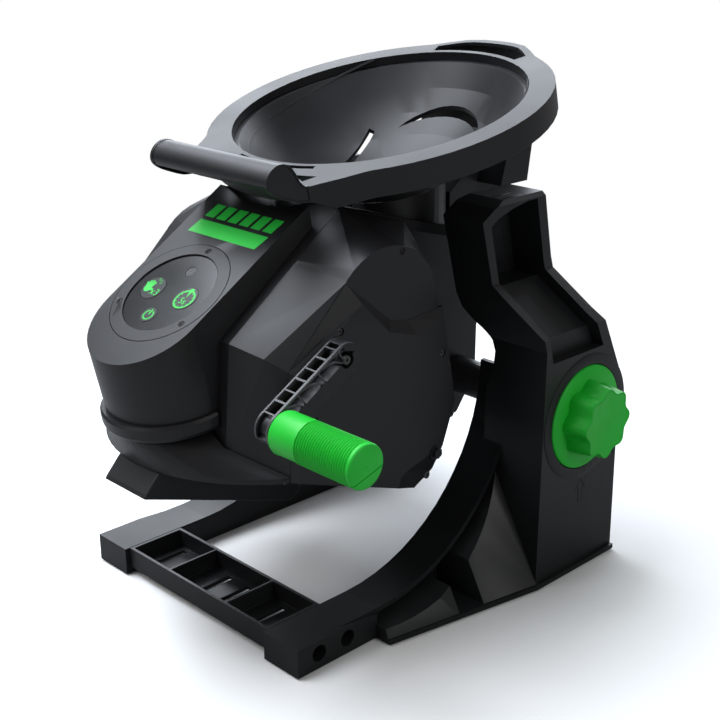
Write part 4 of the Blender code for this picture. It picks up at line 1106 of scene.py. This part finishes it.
# %% Stopwatch sign
WATCH = (17.7, -7.2)
bm = bmesh.new()
stroke(bm, bend(WATCH, 7.9, 0, 350, 35), 1.3, PRINT_LOW, PRINT_HIGH, closed=True)
for hour in range(12):
    if hour != 3:
        stroke(bm, ray_line(WATCH, 30 * hour, 6.0, 7.5), 0.5, PRINT_LOW, PRINT_HIGH + 0.01)
crown = ((-1.9, 8.3), (1.9, 8.3), (1.9, 9.9), (-1.9, 9.9))
hand = ((-1.7, 7.4), (0.2, 1.6), (1.1, 7.5))
slab(bm, [(WATCH[0] + x, WATCH[1] + y) for x, y in crown], PRINT_LOW, PRINT_HIGH + 0.02)
slab(bm, [(WATCH[0] + x, WATCH[1] + y) for x, y in hand], PRINT_LOW, PRINT_HIGH + 0.03)
printed("sign_stopwatch", bm, print_green, "timer_button")
lettering("sign_five_seconds", "5s", 7.6,
          ON_PANEL @ Matrix.Translation((WATCH[0], WATCH[1] - 1.8, KEY_TOP + 0.02)), print_green,
          "timer_button", 0.08)

# %% [markdown]
# The power sign is an open ring with a bar through its gap. The microphone sits behind seven
# small holes, one in the middle and six around it. They are dark discs in the glass, painted
# shade that stands in for the depth of the holes.

# %% Power sign and microphone holes
POWER = (0.0, -27.8)
MICROPHONE = (0.0, 16.0)
bm = bmesh.new()
stroke(bm, bend(POWER, 4.0, 115, 425, 30), 1.1, PRINT_LOW, PRINT_HIGH)
stroke(bm, ray_line(POWER, 90, 0.4, 5.2), 1.1, PRINT_LOW, PRINT_HIGH + 0.01)
printed("sign_power", bm, print_green, "power_button")
bm = bmesh.new()
for x, y in [MICROPHONE] + bend(MICROPHONE, 2.5, 0, 300, 5):
    drum(bm, 0.75, -1.85, -1.35, x=x, y=y, segments=16)
printed("microphone_hole_shades", bm, black_and_painted_shade, "head")

# %% [markdown]
# The sloping lid has a two-row print. Its lettering is left off: a row of plain slanted blocks
# and a plain band fill the same place, in the same green.

# %% Plain two-row print on the lid
BLOCKS, BLOCK_STEP, BLOCK_START = 6, 12.6, -34.0
INK_LOW, INK_HIGH = -0.05, 0.08
bm = bmesh.new()
for i in range(BLOCKS):
    x = BLOCK_START + BLOCK_STEP * i
    slab(bm, [(x, 64.0), (x + 9.6, 64.0), (x + 11.4, 77.0), (x + 1.8, 77.0)], INK_LOW, INK_HIGH)
printed("print_upper_row", bm, print_green, "head")
bm = bmesh.new()
slab(bm, [(-36.5, 47.5), (37.0, 47.5), (39.5, 60.5), (-34.5, 60.5)], INK_LOW, INK_HIGH)
printed("print_lower_row", bm, print_green, "head")

# %% [markdown]
# The deep pockets in the uprights have sunken grooves, whose foot lies in shade. They are thin
# near-black inlays on the wall of the pocket, which is painted shade. The same drawing serves
# both uprights: it is copied, mirrored about the stand's middle and turned outwards again.

# %% Grooves in the pockets
POCKET_WALL = 85.0
GROOVE_LOW, GROOVE_HIGH = -0.4, 0.06
GROOVE_FRAME = [(233.5, 269.2), (245.9, 268.8), (249.5, 242.2), (237.0, 241.9)]


def on_both_sides(name, bm):
    for side, word in ((1, "right"), (-1, "left")):
        copy = bm.copy()
        if side < 0:
            for v in copy.verts:
                v.co.x = 2 * STAND.x - v.co.x
        bmesh.ops.recalc_face_normals(copy, faces=copy.faces)
        # Every copy gets the near-black finish, as painted shade.
        finish_piece(piece(name + "_" + word, copy), black_and_painted_shade, "stand", None)
    bm.free()


bm = bmesh.new()
stroke(bm, GROOVE_FRAME, 1.1, GROOVE_LOW, GROOVE_HIGH, closed=True)
stroke(bm, [(264.0, 279.0), (269.6, 250.0)], 1.4, GROOVE_LOW, GROOVE_HIGH)
slab(bm, bend((260.5, 236.5), 1.5, 0, 340, 17), GROOVE_LOW, GROOVE_HIGH)
bm.transform(facing_right(POCKET_WALL, 0.0, 0.0))
on_both_sides("pocket_groove_shade", bm)

# %% [markdown]
# On top of each upright two slots end in a short step. They are drawn from above in the stand's
# own millimetres, again as near-black inlays, which are painted shade in the slots.

# %% Slots on top of the uprights
SLOT_LOW, SLOT_HIGH = 300.7, 301.05
bm = bmesh.new()
for x, start, end in ((100.0, 214.0, 234.0), (109.0, 214.0, 240.0)):
    stroke(bm, [(x, start), (x, end)], 1.3, SLOT_LOW, SLOT_HIGH)
for x, step_to, y in ((100.0, 104.0, 234.0), (109.0, 105.0, 240.0)):
    stroke(bm, [(x, y), (step_to, y)], 1.1, SLOT_LOW, SLOT_HIGH - 0.01)
bm.transform(ON_STAND)
on_both_sides("top_slot_shade", bm)
